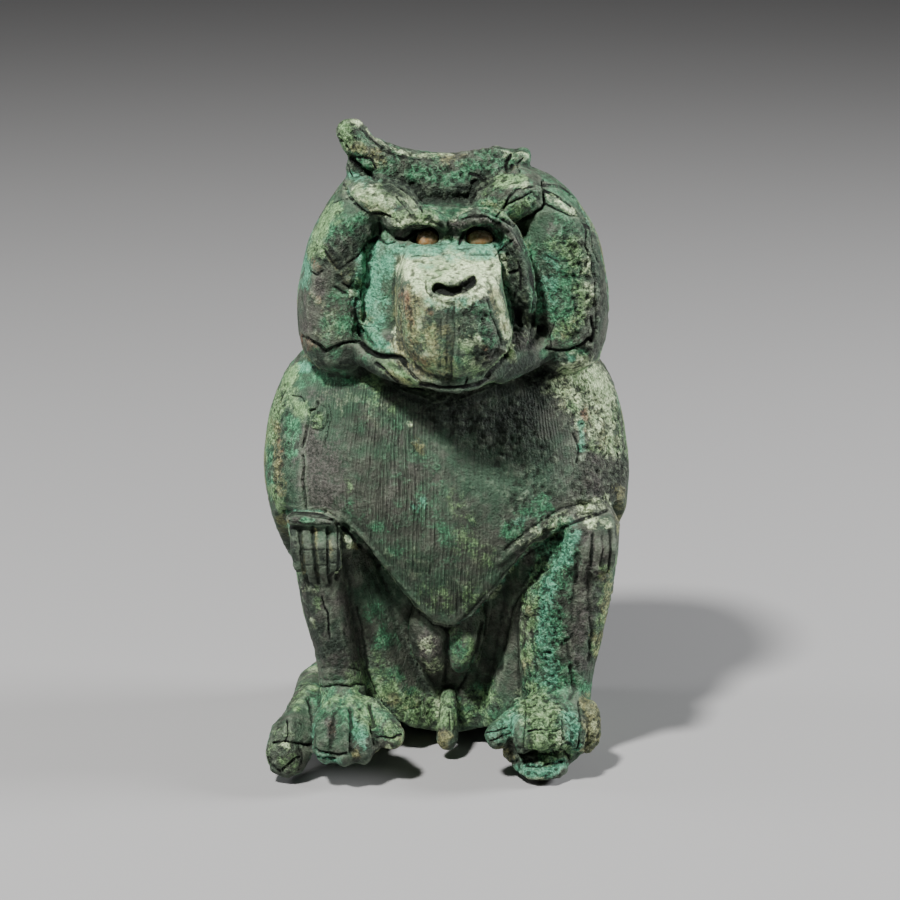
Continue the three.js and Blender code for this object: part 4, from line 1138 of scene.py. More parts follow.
@dataclass(frozen=True)
class Mane:
    """The combed hair of the mantle: fine lines that fall from under the chin to the hem, all round.

    Attributes:
        spacing: from one line to the next.
        depth: how far a line goes in, and stands out beside it.
        hem_tip: the hem's lowest point in front, as x and z.
        hem_half: how far to either side of it the hem rises.
        hem_rise: how far the hem has risen there.
        hem_back: the hem's height behind.
        hem_side: the places along y between which the front's hem becomes the flank's.
        hem_flank: the places along y between which the flank's hem falls to the back's.
        hem_fade: how far above the hem the lines start, and are clear.
        front: the chest seen from the side, as z and y.
        top: the height at which the lines end under the chin.
        top_fade: how far below there they begin to fade.
        taper: how much closer the lines lie at the top, as a share.
        taper_span: the heights between which they close in.
        round_share: how fast the lines follow each other round the chest's side.
        side_span: the places along y between which the lines start to go round evenly.
        back_radius: the back's mean radius.
        waves: the height and the size of each wave in the lines.
        hidden: how clear the lines are where the photograph shows nothing, and how much that varies.
        faint: how clear they are where it shows the mantle and hardly a line.
        strong: where the photograph shows the lines well.
    """

    spacing: float = 1.3
    depth: float = 0.12
    hem_tip: Span = (-0.6, 46.7)
    hem_half: float = 40.0
    hem_rise: float = 39.5
    hem_back: float = 40.0
    hem_side: Span = (-22.6, -8.6)
    hem_flank: Span = (-26.6, 45.4)
    hem_fade: Span = (0.8, 4.0)
    front: tuple[Span, ...] = (
        (46.0, -27.0),
        (60.0, -29.5),
        (74.0, -33.0),
        (86.0, -34.5),
        (100.0, -32.0),
        (114.0, -28.5),
        (126.0, -23.5),
        (134.0, -17.0),
    )
    top: float = 127.5
    top_fade: float = 2.5
    taper: float = 0.06
    taper_span: Span = (70.0, 128.0)
    round_share: float = 0.85
    side_span: Span = (-6.0, 10.0)
    back_radius: float = 50.0
    waves: tuple[Span, ...] = ((0.9, 19.0), (0.25, 7.0))
    hidden: Span = (0.45, 0.3)
    faint: float = 0.25
    strong: tuple[Stain, ...] = (
        Stain(BARE, ((352, 400), (385, 430), (392, 480), (410, 530), (440, 585)), 62, 1.0),
        Stain(BARE, ((592, 372), (600, 400)), 16, 0.7),
        Stain(BARE, ((545, 420), (575, 470)), 30, 0.6),
    )

    def hem(self, points: Array) -> Array:
        """Finds the mantle's lower edge.

        Args:
            points: the vertices.

        Returns:
            The hem's height over or under each of them.
        """
        across = np.abs(points[:, 0] - self.hem_tip[0])
        front = self.hem_tip[1] + self.hem_rise * smoothstep(across, 0.0, self.hem_half)
        behind = smoothstep(points[:, 1], *self.hem_flank)
        flank = (self.hem_tip[1] + self.hem_rise) * (1.0 - behind) + self.hem_back * behind
        beside = smoothstep(points[:, 1], *self.hem_side)
        return front * (1.0 - beside) + flank * beside

    def comb(self, points: Array) -> Array:
        """Measures across the hairs.

        Args:
            points: the vertices.

        Returns:
            Millimetres that grow round the body from the middle of the chest, below 0 on its right.
        """
        taper = 1.0 - self.taper * smoothstep(points[:, 2], *self.taper_span)
        heights, fronts = zip(*self.front)
        back = np.clip(points[:, 1] - np.interp(points[:, 2], heights, fronts), 0.0, None)
        wave = sum(height * COARSE.at(points, size) for height, size in self.waves)
        turned = np.arctan2(np.abs(points[:, 0]), -points[:, 1]) * self.back_radius
        behind = smoothstep(points[:, 1], *self.side_span)
        across = np.abs(points[:, 0]) / taper + back * self.round_share
        return np.sign(points[:, 0]) * (across * (1.0 - behind) + turned * behind) + wave

    def cover(self, skin: Skin, pixels: Array, seen: Array) -> Array:
        """Says where the lines show.

        Args:
            skin: the surface.
            pixels: the photograph pixel of each vertex.
            seen: from 0 to 1, how openly the photograph shows each.

        Returns:
            From 0 to 1, how clear they are at each vertex.
        """
        points = skin.points
        above = smoothstep(points[:, 2] - self.hem(points), *self.hem_fade)
        below = 1.0 - smoothstep(points[:, 2], self.top - self.top_fade, self.top)
        stray = COARSE.rolling(points, 14.0)
        clear = np.zeros(len(points))
        for stain in self.strong:
            near, share = stain.cover(pixels, stray)
            clear[near] = np.maximum(clear[near], share)
        unseen, varying = self.hidden
        least = (unseen + varying * stray) * (1.0 - seen) + self.faint * seen
        return above * below * np.clip(np.maximum(clear * seen, least), 0.0, 1.0)


@dataclass(frozen=True)
class Pitting:
    """How corrosion has roughened the bronze.

    Attributes:
        roll_size: the size of the broadest unevenness, whose height is roll.
        ripple_size: the size of the ripples, whose height is ripple.
        ripple_calm: how much of the ripples is lost where the surface is kept smooth.
        lump_size: the size of the lumps in a crust, whose height is lump.
        pit_size: how far apart pits lie, whose depth is pit.
        pit_edge: a pit's radius, as a share of that.
        pit_ease: how round a pit's bottom is.
        grit_size: the size of the grit, whose height is grit.
        rare_size: the size of the pitted patches outside the crusts.
        rare_edge: between which values of their pattern they begin.
        rare_share: how deep their pits are, beside those of a crust.
        grit_share: how high the grit stands outside a crust.
    """

    roll_size: float = 14.0
    roll: float = 0.35
    ripple_size: float = 4.5
    ripple: float = 0.18
    ripple_calm: float = 0.6
    lump_size: float = 3.0
    lump: float = 1.0
    pit_size: float = 2.4
    pit: float = 0.7
    pit_edge: float = 0.42
    pit_ease: float = 0.8
    grit_size: float = 1.2
    grit: float = 0.28
    rare_size: float = 9.0
    rare_edge: Span = (0.25, 0.7)
    rare_share: float = 0.35
    grit_share: float = 0.45

    def heights(self, points: Array, crust: Array, smooth: Array) -> Array:
        """How far the surface stands out.

        Args:
            points: the vertices.
            crust: from 0 to 1, how crusted each is.
            smooth: from 0 to 1, how much is kept smooth.

        Returns:
            Heights in millimetres.
        """
        rolling = self.roll * COARSE.rolling(points, self.roll_size, 2)
        ripple = self.ripple * FINE.rolling(points, self.ripple_size, 2) * (1.0 - self.ripple_calm * smooth)
        hollow = np.clip(1.0 - FINE.cells(points, self.pit_size) / self.pit_edge, 0.0, 1.0)
        pits = -self.pit * hollow**self.pit_ease
        lumps = self.lump * FINE.rolling(points + 9.0, self.lump_size, 3)
        grit = self.grit * FINE.at(points, self.grit_size)
        rare = smoothstep(COARSE.at(points, self.rare_size), *self.rare_edge) * (1.0 - smooth)
        crusted = rolling + ripple + crust * (lumps + pits + grit)
        return crusted + self.rare_share * rare * pits + self.grit_share * grit * (1.0 - smooth)


class NodeSheet:
    """Builds a node material in short steps, with patterns on Object coordinates."""

    APART_M = (0.37, -0.21, 0.29)
    COLOUR_A, COLOUR_B, COLOUR_OUT = 6, 7, 2

    def __init__(self, name: str) -> None:
        """Starts an empty material."""
        self.material = bpy.data.materials.new(name)
        self.material.use_nodes = True
        self.tree = self.material.node_tree
        self.tree.nodes.clear()
        self.place = self.node("ShaderNodeTexCoord").outputs["Object"]

    def node(self, kind: str) -> bpy.types.Node:
        """Adds a node."""
        return self.tree.nodes.new(kind)

    def feed(self, socket: Socket, value: Value | Tone) -> None:
        """Fills a socket.

        Args:
            socket: the socket to fill.
            value: another node's socket, which is linked to it, or a plain value.
        """
        if isinstance(value, bpy.types.NodeSocket):
            self.tree.links.new(value, socket)
        elif isinstance(value, tuple) and socket.type == "RGBA":
            socket.default_value = (*value, 1.0)
        else:
            socket.default_value = value

    def attribute(self, name: str) -> Socket:
        """Reads what is painted on the surface.

        Args:
            name: the mask's name.

        Returns:
            Its number.
        """
        node = self.node("ShaderNodeAttribute")
        node.attribute_name = name
        return node.outputs["Fac"]

    def noise(self, size: float, detail: float, rough: float = 0.5, at: Socket | None = None) -> Socket:
        """Makes a cloudy pattern.

        Args:
            size: about how large its features are, in millimetres.
            detail: how many finer layers lie on it.
            rough: how strong each is beside the one before.
            at: the place that it reads, if not the piece's own.

        Returns:
            A number from 0 to 1.
        """
        node = self.node("ShaderNodeTexNoise")
        self.feed(node.inputs["Vector"], at or self.place)
        node.inputs["Scale"].default_value = 1.0 / (size * MM)
        node.inputs["Detail"].default_value = detail
        node.inputs["Roughness"].default_value = rough
        return node.outputs["Fac"]

    def cells(self, size: float) -> Socket:
        """Scatters points.

        Args:
            size: about how far apart they lie, in millimetres.

        Returns:
            The distance to the nearest of them, in shares of that.
        """
        node = self.node("ShaderNodeTexVoronoi")
        self.feed(node.inputs["Vector"], self.place)
        node.inputs["Scale"].default_value = 1.0 / (size * MM)
        return node.outputs["Distance"]

    def apart(self, number: int) -> Socket:
        """Moves the place so far that a pattern there has nothing in common with the same one elsewhere.

        Args:
            number: which of such places it is.

        Returns:
            The moved place.
        """
        node = self.node("ShaderNodeVectorMath")
        node.operation = "ADD"
        self.feed(node.inputs[0], self.place)
        node.inputs[1].default_value = tuple(step * number for step in self.APART_M)
        return node.outputs["Vector"]

    def math(self, operation: str, first: Value, second: Value) -> Socket:
        """Works out one sum.

        Args:
            operation: the sum's name in Blender.
            first: its first number.
            second: its second number.

        Returns:
            The result.
        """
        node = self.node("ShaderNodeMath")
        node.operation = operation
        self.feed(node.inputs[0], first)
        self.feed(node.inputs[1], second)
        return node.outputs["Value"]

    def plus(self, first: Value, second: Value) -> Socket:
        """The sum of two numbers."""
        return self.math("ADD", first, second)

    def times(self, first: Value, second: Value) -> Socket:
        """The product of two numbers."""
        return self.math("MULTIPLY", first, second)

    def rising(self, start: float, value: Value, gain: float) -> Socket:
        """A number that is start where the value is 0, and gain more where it is 1."""
        return self.plus(start, self.times(value, gain))

    def step(self, value: Value, low: float, high: float) -> Socket:
        """Eases a value from 0 at low to 1 at high, and the other way where low is the larger.

        Args:
            value: the value.
            low: where the result is 0.
            high: where it is 1.

        Returns:
            The eased value.
        """
        node = self.node("ShaderNodeMapRange")
        node.interpolation_type = "SMOOTHSTEP"
        self.feed(node.inputs["Value"], value)
        node.inputs["From Min"].default_value = min(low, high)
        node.inputs["From Max"].default_value = max(low, high)
        node.inputs["To Min"].default_value = float(low > high)
        node.inputs["To Max"].default_value = float(low < high)
        return node.outputs["Result"]

    def mix(self, share: Value, first: Tone, second: Tone) -> Socket:
        """Mixes two colours.

        Args:
            share: from 0 to 1, how much of the second there is.
            first: a colour.
            second: another.

        Returns:
            The mixed colour.
        """
        node = self.node("ShaderNodeMix")
        node.data_type = "RGBA"
        self.feed(node.inputs["Factor"], share)
        self.feed(node.inputs[self.COLOUR_A], first)
        self.feed(node.inputs[self.COLOUR_B], second)
        return node.outputs[self.COLOUR_OUT]

    def scaled(self, colour: Socket, by: Socket) -> Socket:
        """Makes a colour lighter or darker.

        Args:
            colour: the colour.
            by: what it is multiplied by.

        Returns:
            The new colour.
        """
        node = self.node("ShaderNodeVectorMath")
        node.operation = "SCALE"
        self.feed(node.inputs[0], colour)
        self.feed(node.inputs["Scale"], by)
        return node.outputs["Vector"]

    def wave(self, name: str, turns: float, stray: Socket) -> Socket:
        """Lines across a painted measure, from -1 to 1, that waver a little."""
        along = self.plus(self.times(self.attribute(name), turns), self.times(stray, 4.0))
        return self.math("SINE", along, 0.0)

    def streaks(self, name: str, wide: float, long: float) -> Socket:
        """Makes broken strands that run down the lines of a painted measure.

        Args:
            name: the measure's name.
            wide: how wide a strand is, in millimetres.
            long: about how long it is.

        Returns:
            A number from 0 to 1.
        """
        split = self.node("ShaderNodeSeparateXYZ")
        self.feed(split.inputs["Vector"], self.place)
        join = self.node("ShaderNodeCombineXYZ")
        self.feed(join.inputs["X"], self.times(self.attribute(name), 1.0 / wide))
        self.feed(join.inputs["Z"], self.times(split.outputs["Z"], 1.0 / (long * MM)))
        node = self.node("ShaderNodeTexNoise")
        self.feed(node.inputs["Vector"], join.outputs["Vector"])
        node.inputs["Scale"].default_value = 1.0
        node.inputs["Detail"].default_value = 2.0
        return node.outputs["Fac"]

    def bump(self, height: Socket, distance_m: float, strength: float) -> Socket:
        """Makes the surface look bumpy.

        Args:
            height: the pattern of heights.
            distance_m: how high its 1 stands.
            strength: from 0 to 1, how much of it shows.

        Returns:
            The bumpy surface's direction.
        """
        node = self.node("ShaderNodeBump")
        self.feed(node.inputs["Height"], height)
        node.inputs["Distance"].default_value = distance_m
        node.inputs["Strength"].default_value = strength
        return node.outputs["Normal"]

    def shader(self, colour: Tone, rough: Value, normal: Socket | None) -> bpy.types.Node:
        """Ends the material in its shader.

        Args:
            colour: its colour.
            rough: its roughness.
            normal: its bumps, if it has any.

        Returns:
            The shader's node, for its plain values.
        """
        node = self.node("ShaderNodeBsdfPrincipled")
        self.feed(node.inputs["Base Color"], colour)
        self.feed(node.inputs["Roughness"], rough)
        if normal is not None:
            self.feed(node.inputs["Normal"], normal)
        output = self.node("ShaderNodeOutputMaterial")
        self.tree.links.new(node.outputs["BSDF"], output.inputs["Surface"])
        return node


@dataclass(frozen=True)
class Growth:
    """How one kind of patina shows in the finish.

    Attributes:
        kind: which patina it is.
        light: its colour on raised grains, partly a painted highlight, in linear light.
        dark: its colour between them, partly painted shade.
        size: how large its patches are, in millimetres.
        most: the most of the surface that it covers.
    """

    kind: Patina
    light: Colour
    dark: Colour
    size: float
    most: float = 0.92


class BronzeSheet(NodeSheet):
    """A sheet with the patterns that the bronze's colour and its bumps share."""

    def __init__(self, name: str, hair_spacing: float) -> None:
        """Makes the clouds, the specks and grains, the crust's share, the scattered dots and the hairs."""
        super().__init__(name)
        self.broad = self.noise(30.0, 3.0)
        self.patch = self.noise(9.0, 6.0, rough=0.62, at=self.apart(1))
        self.speck = self.noise(2.6, 5.0, rough=0.70, at=self.apart(2))
        self.grain = self.noise(0.8, 2.0, rough=0.6, at=self.apart(3))
        self.film = self.noise(5.0, 6.0, rough=0.66, at=self.apart(4))
        both = self.plus(self.times(self.speck, 0.45), self.times(self.grain, 0.55))
        self.grains = self.step(both, 0.36, 0.66)
        self.dots = self.cells(1.7)
        self.crust = self.attribute(CRUST.value)
        strands = self.rising(-1.6, self.streaks("comb", 0.55, 9.0), 3.2)
        lines = self.wave("comb", 2.0 * math.pi / hair_spacing, self.speck)
        hair = self.plus(self.times(lines, 0.55), strands)
        self.hairs = self.times(hair, self.attribute("hair"))


@dataclass(frozen=True)
class BronzeFinish:
    """Corroded bronze under layers of patina, its colours in linear light.

    Attributes:
        deep: the darkest bronze, in its clouds, and the dirt and painted shade in its hollows.
        middle: the bronze elsewhere.
        green: the thin film on it.
        light: its pale flecks, partly a painted highlight, and the wear and painted highlight on its rises.
        crevice: the inside of a crack, dark partly as dirt and partly as painted shade.
        growths: what lies on it, the painted shade among it, from the lowest layer to the highest.
        hair_spacing: from one line of the mane to the next, in millimetres.
        bump_m: how high a bump of 1 stands.
        gloss: how strongly the surface mirrors light, head on.
    """

    deep: Colour = (0.020, 0.027, 0.019)
    middle: Colour = (0.082, 0.090, 0.070)
    green: Colour = (0.036, 0.094, 0.052)
    light: Colour = (0.250, 0.320, 0.220)
    crevice: Colour = (0.004, 0.006, 0.004)
    growths: tuple[Growth, ...] = (
        Growth(UMBER, (0.105, 0.097, 0.088), (0.030, 0.028, 0.025), 7.0, 0.85),
        Growth(EMERALD, (0.085, 0.285, 0.142), (0.024, 0.105, 0.052), 6.0),
        Growth(PALE, (0.860, 1.000, 0.620), (0.430, 0.620, 0.310), 4.0, 0.86),
        Growth(TEAL, (0.150, 0.440, 0.280), (0.060, 0.230, 0.140), 5.0),
        Growth(LIME, (0.260, 0.430, 0.190), (0.100, 0.200, 0.082), 5.0),
        Growth(OCHRE, (0.340, 0.340, 0.150), (0.130, 0.125, 0.062), 4.0, 0.72),
        Growth(RUST, (0.230, 0.120, 0.070), (0.090, 0.044, 0.028), 3.0, 0.75),
        # The dark crust's colour, which is also the painted shade's.
        Growth(SOOT, (0.034, 0.050, 0.036), (0.006, 0.011, 0.007), 5.0, 0.95),
    )
    hair_spacing: float = Mane.spacing
    bump_m: float = 0.0009
    gloss: float = 0.22

    def build(self) -> bpy.types.Material:
        """Makes the node material.

        Returns:
            The material.
        """
        sheet = BronzeSheet("corroded_bronze", self.hair_spacing)
        colour = self.weathered(sheet, self.overgrown(sheet, self.bare(sheet)))
        rough = sheet.rising(0.46, sheet.speck, 0.35)
        shader = sheet.shader(colour, rough, sheet.bump(self.relief(sheet), self.bump_m, 1.0))
        shader.inputs["Specular IOR Level"].default_value = self.gloss
        return sheet.material

    def bare(self, sheet: BronzeSheet) -> Socket:
        """Colours the bronze itself: dark and grey-green clouds, a thin green film, and pale flecks where its
        specks stand high, partly a painted highlight.

        Args:
            sheet: the material.

        Returns:
            The colour.
        """
        colour = sheet.mix(sheet.step(sheet.patch, 0.25, 0.60), self.deep, self.middle)
        film = sheet.plus(sheet.times(sheet.broad, 0.7), sheet.times(sheet.film, 0.5))
        colour = sheet.mix(sheet.times(sheet.step(film, 0.52, 0.72), 0.7), colour, self.green)
        # Pale flecks where the specks stand high, partly a painted highlight on them.
        flecks = sheet.times(sheet.step(sheet.speck, 0.54, 0.70), sheet.rising(0.22, sheet.crust, 0.45))
        return sheet.mix(flecks, colour, self.light)

    def overgrown(self, sheet: BronzeSheet, colour: Socket) -> Socket:
        """Lays the growths on it, the painted shade among them, each with an edge as ragged as its own clouds
        and grains make it.

        Args:
            sheet: the material.
            colour: the colour so far.

        Returns:
            The colour.
        """
        for number, growth in enumerate(self.growths):
            own = sheet.noise(growth.size, 7.0, rough=0.66, at=sheet.apart(5 + number))
            grown = sheet.attribute(growth.kind.value)
            clouds = sheet.times(sheet.step(own, 0.32, 0.68), 0.9)
            uneven = sheet.plus(clouds, sheet.times(sheet.grains, 0.35))
            ragged = sheet.times(sheet.plus(uneven, -0.64), sheet.step(grown, 0.0, 0.3))
            amount = sheet.plus(sheet.times(grown, 1.1), ragged)
            # Each growth lighter on its raised grains and darker between them: partly its own grain, partly
            # painted highlight and shade.
            shade = sheet.mix(sheet.grains, growth.dark, growth.light)
            cover = sheet.times(sheet.step(amount, 0.08, 1.0), growth.most)
            colour = sheet.mix(cover, colour, shade)
        return colour

    def weathered(self, sheet: BronzeSheet, colour: Socket) -> Socket:
        """Lightens the rises and darkens the hollows, as wear and dirt and as painted highlight and shade;
        lightens the hairs' crests and darkens the gaps between them, as painted sheen and shade; and darkens
        the pinholes and the cracks.

        Args:
            sheet: the material.
            colour: the colour so far.

        Returns:
            The colour.
        """
        standing = sheet.attribute("height")
        # Painted highlight on the rises and painted shade in the hollows, partly wear and dirt.
        colour = sheet.mix(sheet.times(sheet.step(standing, 0.58, 0.95), 0.20), colour, self.light)
        colour = sheet.mix(sheet.times(sheet.step(standing, 0.46, 0.08), 0.80), colour, self.deep)
        # Painted sheen on the hair lines' crests and painted shade in the gaps between them.
        colour = sheet.scaled(colour, sheet.rising(1.0, sheet.hairs, 0.52))
        pinholes = sheet.times(sheet.step(sheet.dots, 0.22, 0.06), sheet.step(sheet.patch, 0.44, 0.56))
        colour = sheet.mix(sheet.times(pinholes, 0.55), colour, self.crevice)
        # Cracks and grooves dark inside, partly dirt and partly painted shade.
        crack = sheet.times(sheet.attribute("crack"), sheet.rising(0.65, sheet.patch, 0.8))
        colour = sheet.mix(sheet.step(crack, 0.18, 0.65), colour, self.crevice)
        # Lighter on raised grains and darker between them, most on a crust: partly their own colour, partly
        # painted highlight and shade.
        coarse = sheet.times(sheet.crust, sheet.rising(-0.26, sheet.grains, 0.50))
        return sheet.scaled(colour, sheet.plus(sheet.rising(0.82, sheet.grains, 0.36), coarse))

    def relief(self, sheet: BronzeSheet) -> Socket:
        """Adds up the fine bumps, which are higher on a crust.

        Args:
            sheet: the material.

        Returns:
            The height, in shares of bump_m.
        """
        height = sheet.times(sheet.speck, sheet.rising(1.20, sheet.crust, 2.4))
        height = sheet.plus(height, sheet.times(sheet.grain, sheet.rising(0.60, sheet.crust, 1.2)))
        height = sheet.plus(height, sheet.times(sheet.hairs, 0.32))
        dots = sheet.times(sheet.step(sheet.dots, 0.0, 0.26), sheet.rising(0.10, sheet.crust, 0.4))
        return sheet.plus(height, dots)


@dataclass(frozen=True)
class EyeFinish:
    """Polished amber-brown stone, a little cloudy, darker and greyer at its top, as painted shade under the
    lid and a painted reflection.

    Attributes:
        amber: its lower half, in linear light.
        brown: its upper half, as painted shade and reflection.
        cloud: the pale clouds in it.
        polish: how strong the coat of polish is, and how rough.
        depth: how much light goes into it.
        depth_m: how far its red, green and blue go in.
    """

    amber: Colour = (0.360, 0.190, 0.070)
    brown: Colour = (0.160, 0.110, 0.062)
    cloud: Colour = (0.340, 0.265, 0.170)
    polish: Span = (0.35, 0.14)
    depth: float = 0.15
    depth_m: Colour = (0.002, 0.001, 0.0005)

    def build(self) -> bpy.types.Material:
        """Makes the node material.

        Returns:
            The material.
        """
        sheet = NodeSheet("amber_stone")
        cloudy = sheet.noise(3.5, 4.0)
        fine = sheet.noise(1.0, 4.0, at=sheet.apart(1))
        # Brown towards the top as painted lid shade and reflection, amber below.
        low = sheet.plus(sheet.attribute("low"), sheet.times(sheet.plus(cloudy, -0.5), 1.2))
        colour = sheet.mix(sheet.step(low, 0.25, 0.75), self.brown, self.amber)
        colour = sheet.mix(sheet.times(sheet.step(fine, 0.46, 0.66), 0.6), colour, self.cloud)
        rough = sheet.rising(0.16, fine, 0.26)
        shader = sheet.shader(colour, rough, sheet.bump(fine, 0.00012, 0.6))
        coat, coat_rough = self.polish
        shader.inputs["Coat Weight"].default_value = coat
        shader.inputs["Coat Roughness"].default_value = coat_rough
        shader.inputs["Subsurface Weight"].default_value = self.depth
        shader.inputs["Subsurface Radius"].default_value = self.depth_m
        shader.inputs["Subsurface Scale"].default_value = 1.0
        return sheet.material


@dataclass(frozen=True)
class FloorFinish:
    """A plain pale studio floor.

    Attributes:
        colour: its colour, in linear light.
        uneven: how much darker it is in places, as a share.
        rough: its roughness.
    """

    colour: Colour = (0.34, 0.337, 0.34)
    uneven: float = 0.03
    rough: float = 0.6

    def build(self) -> bpy.types.Material:
        """Makes the node material.

        Returns:
            The material.
        """
        sheet = NodeSheet("pale_floor")
        soft = sheet.noise(400.0, 2.0)
        colour = sheet.mix(soft, tuple((1.0 - self.uneven) * part for part in self.colour), self.colour)
        sheet.shader(colour, self.rough, None)
        return sheet.material


def applied(piece: bpy.types.Object) -> None:
    """Makes a piece's modifiers part of its mesh.

    Args:
        piece: the piece, whose modifiers are then gone.
    """
    bpy.context.view_layer.update()
    graph = bpy.context.evaluated_depsgraph_get()
    mesh = bpy.data.meshes.new_from_object(piece.evaluated_get(graph))
    mesh.name = piece.data.name
    piece.modifiers.clear()
    piece.data = mesh


@dataclass
class Casting:
    """The whole casting: the figure's solid refined, carved and painted.

    Attributes:
        node: the solid that it replaces.
        name: what the piece is called.
        weld: how near to each other the solid's loose corners are merged.
        voxel: the size of the fine mesh, before its front is split.
        facet_rounds: how often the solid's facets are evened out.
        facet_bend: how sharp a bend is kept, from a little to in full.
        foot: the height under which the mesh keeps its level.
        front_least: how openly the photograph shows what is split.
        triangles: the most that the piece has.
        scatter_size: the size of the patches of patina on the sides that can't be seen.
        scatter_edge: between which values of their pattern they begin.
        scatter_most: how strong they are.
        relief: how far a rise or a hollow stands out that is painted in full.
        regions: the marks placed on the photograph.
        mane: the hair lines.
        pitting: the roughness.
        finish: the bronze.
    """

    node: str = "figure"
    name: str = "bronze_baboon"
    weld: float = 0.002
    voxel: float = 0.95
    facet_rounds: int = 60
    facet_bend: Span = (0.006, 0.035)
    foot: float = 1.5
    front_least: float = 0.05
    triangles: int = 197_000
    scatter_size: float = 24.0
    scatter_edge: Span = (0.05, 0.55)
    scatter_most: float = 0.7
    relief: float = 0.5
    regions: tuple[Region, ...] = (CRESCENT, CAPS, BOLSTERS, FACE, MUZZLE, MANTLE, HANDS, LEGS, FEET)
    mane: Mane = field(default_factory=Mane)
    pitting: Pitting = field(default_factory=Pitting)
    finish: BronzeFinish = field(default_factory=BronzeFinish)

    # Never scattered unseen: rust, the mane's bare bronze and the painted shade.
    ONLY_SEEN = (RUST, BARE, SOOT)

    def build(self) -> bpy.types.Object:
        """Makes the piece in order.

        Returns:
            The finished object.
        """
        piece = self.copied()
        self.refined(piece)
        self.carved(piece)
        self.thinned(piece)
        self.painted(piece)
        piece.data.materials.clear()
        piece.data.materials.append(self.finish.build())
        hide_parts(self.node)
        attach(piece, "root")
        return piece

    def copied(self) -> bpy.types.Object:
        """Copies the solid and merges its loose triangles.

        Returns:
            The copy's object.
        """
        shell = bmesh.new()
        shell.from_mesh(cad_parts[self.node].data)
        bmesh.ops.remove_doubles(shell, verts=shell.verts, dist=self.weld * MM)
        mesh = bpy.data.meshes.new(self.name)
        shell.to_mesh(mesh)
        shell.free()
        piece = bpy.data.objects.new(self.name, mesh)
        bpy.context.scene.collection.objects.link(piece)
        return piece

    def refined(self, piece: bpy.types.Object) -> None:
        """Gives the copy an even fine mesh and rounds off its facets, but not its own edges.

        Args:
            piece: the copy.
        """
        even = piece.modifiers.new("even", "REMESH")
        even.mode = "VOXEL"
        even.voxel_size = self.voxel * MM
        applied(piece)
        skin = Skin(piece.data)
        skin.points = skin.spread(skin.points, 3, 0.5)
        bend = 1.0 - np.linalg.norm(skin.spread(skin.normals(), 8), axis=1)
        soft = skin.spread(1.0 - smoothstep(bend, *self.facet_bend), 3)
        kept = skin.points.copy()
        skin.points = skin.spread(skin.points, self.facet_rounds, 0.6 * soft)
        skin.points[:, 2] = np.where(kept[:, 2] < self.foot, kept[:, 2], skin.points[:, 2])
        skin.store()
        LOG.info("refined to %d vertices", len(piece.data.vertices))

    def carved(self, piece: bpy.types.Object) -> None:
        """Cuts the cracks, raises the lumps, and roughens the surface.

        Args:
            piece: the refined copy.
        """
        self.split_front(piece)
        skin = Skin(piece.data)
        skin.points = skin.spread(skin.points, 1, 0.5)
        normals = skin.normals()
        pixels, seen = skin.look(normals)
        heights, _ = self.marks(skin, pixels, seen)
        crust = self.masks(skin, pixels, seen, (CRUST,))[CRUST]
        hair = self.mane.cover(skin, pixels, seen)
        lines = np.sin(2.0 * math.pi * self.mane.comb(skin.points) / self.mane.spacing)
        heights += self.pitting.heights(skin.points, crust, hair)
        heights += self.mane.depth * hair * lines
        skin.push(heights, normals)
        skin.store()
        for region in self.regions:
            LOG.info("%s: %d cuts, %d bosses", region.name, len(region.cuts), len(region.bosses))

    def split_front(self, piece: bpy.types.Object) -> None:
        """Splits the faces that the photograph shows once more, for its finer marks.

        Args:
            piece: the refined copy.
        """
        skin = Skin(piece.data)
        facing = skin.spread(skin.look(skin.normals())[1], 2)
        chosen = set(np.flatnonzero(facing > self.front_least).tolist())
        shell = bmesh.new()
        shell.from_mesh(piece.data)
        edges = [edge for edge in shell.edges if all(vert.index in chosen for vert in edge.verts)]
        bmesh.ops.subdivide_edges(shell, edges=edges, cuts=1, use_grid_fill=True)
        shell.to_mesh(piece.data)
        shell.free()
        LOG.info("front split to %d vertices", len(piece.data.vertices))

    def marks(self, skin: Skin, pixels: Array, seen: Array) -> tuple[Array, Array]:
        """Adds up the marks that are placed on the photograph.

        Args:
            skin: the surface.
            pixels: the photograph pixel of each vertex.
            seen: from 0 to 1, how openly the photograph shows each.

        Returns:
            Each vertex's height, and how dark a crack makes it.
        """
        heights = np.zeros(len(skin.points))
        cracks = np.zeros(len(skin.points))
        for region in self.regions:
            for cut in region.cuts:
                near, height, shade = cut.profile(pixels, skin.points)
                heights[near] += height * seen[near]
                cracks[near] = np.maximum(cracks[near], shade * seen[near])
            for boss in region.bosses:
                heights += boss.heights(pixels) * seen
        return heights, cracks

    def masks(self, skin: Skin, pixels: Array, seen: Array, kinds: Iterable[Patina]) -> dict[Patina, Array]:
        """Says what has grown where, and where shade is painted: as the photograph shows it, and scattered
        elsewhere.

        Args:
            skin: the surface.
            pixels: the photograph pixel of each vertex.
            seen: from 0 to 1, how openly the photograph shows each.
            kinds: the patinas that are wanted.

        Returns:
            For each of them, how much of it lies on each vertex.
        """
        stray = COARSE.rolling(skin.points, 5.0)
        masks = {}
        for number, kind in enumerate(kinds):
            drawn = np.zeros(len(skin.points))
            for stain in itertools.chain.from_iterable(region.stains for region in self.regions):
                if stain.kind is kind:
                    near, share = stain.cover(pixels, stray)
                    drawn[near] = np.maximum(drawn[near], share)
            pattern = COARSE.rolling(skin.points + 40.0 * (number + 1), self.scatter_size)
            most = 0.0 if kind in self.ONLY_SEEN else self.scatter_most
            loose = smoothstep(pattern, *self.scatter_edge) * most
            masks[kind] = drawn * np.sqrt(seen) + loose * (1.0 - seen)
        return masks

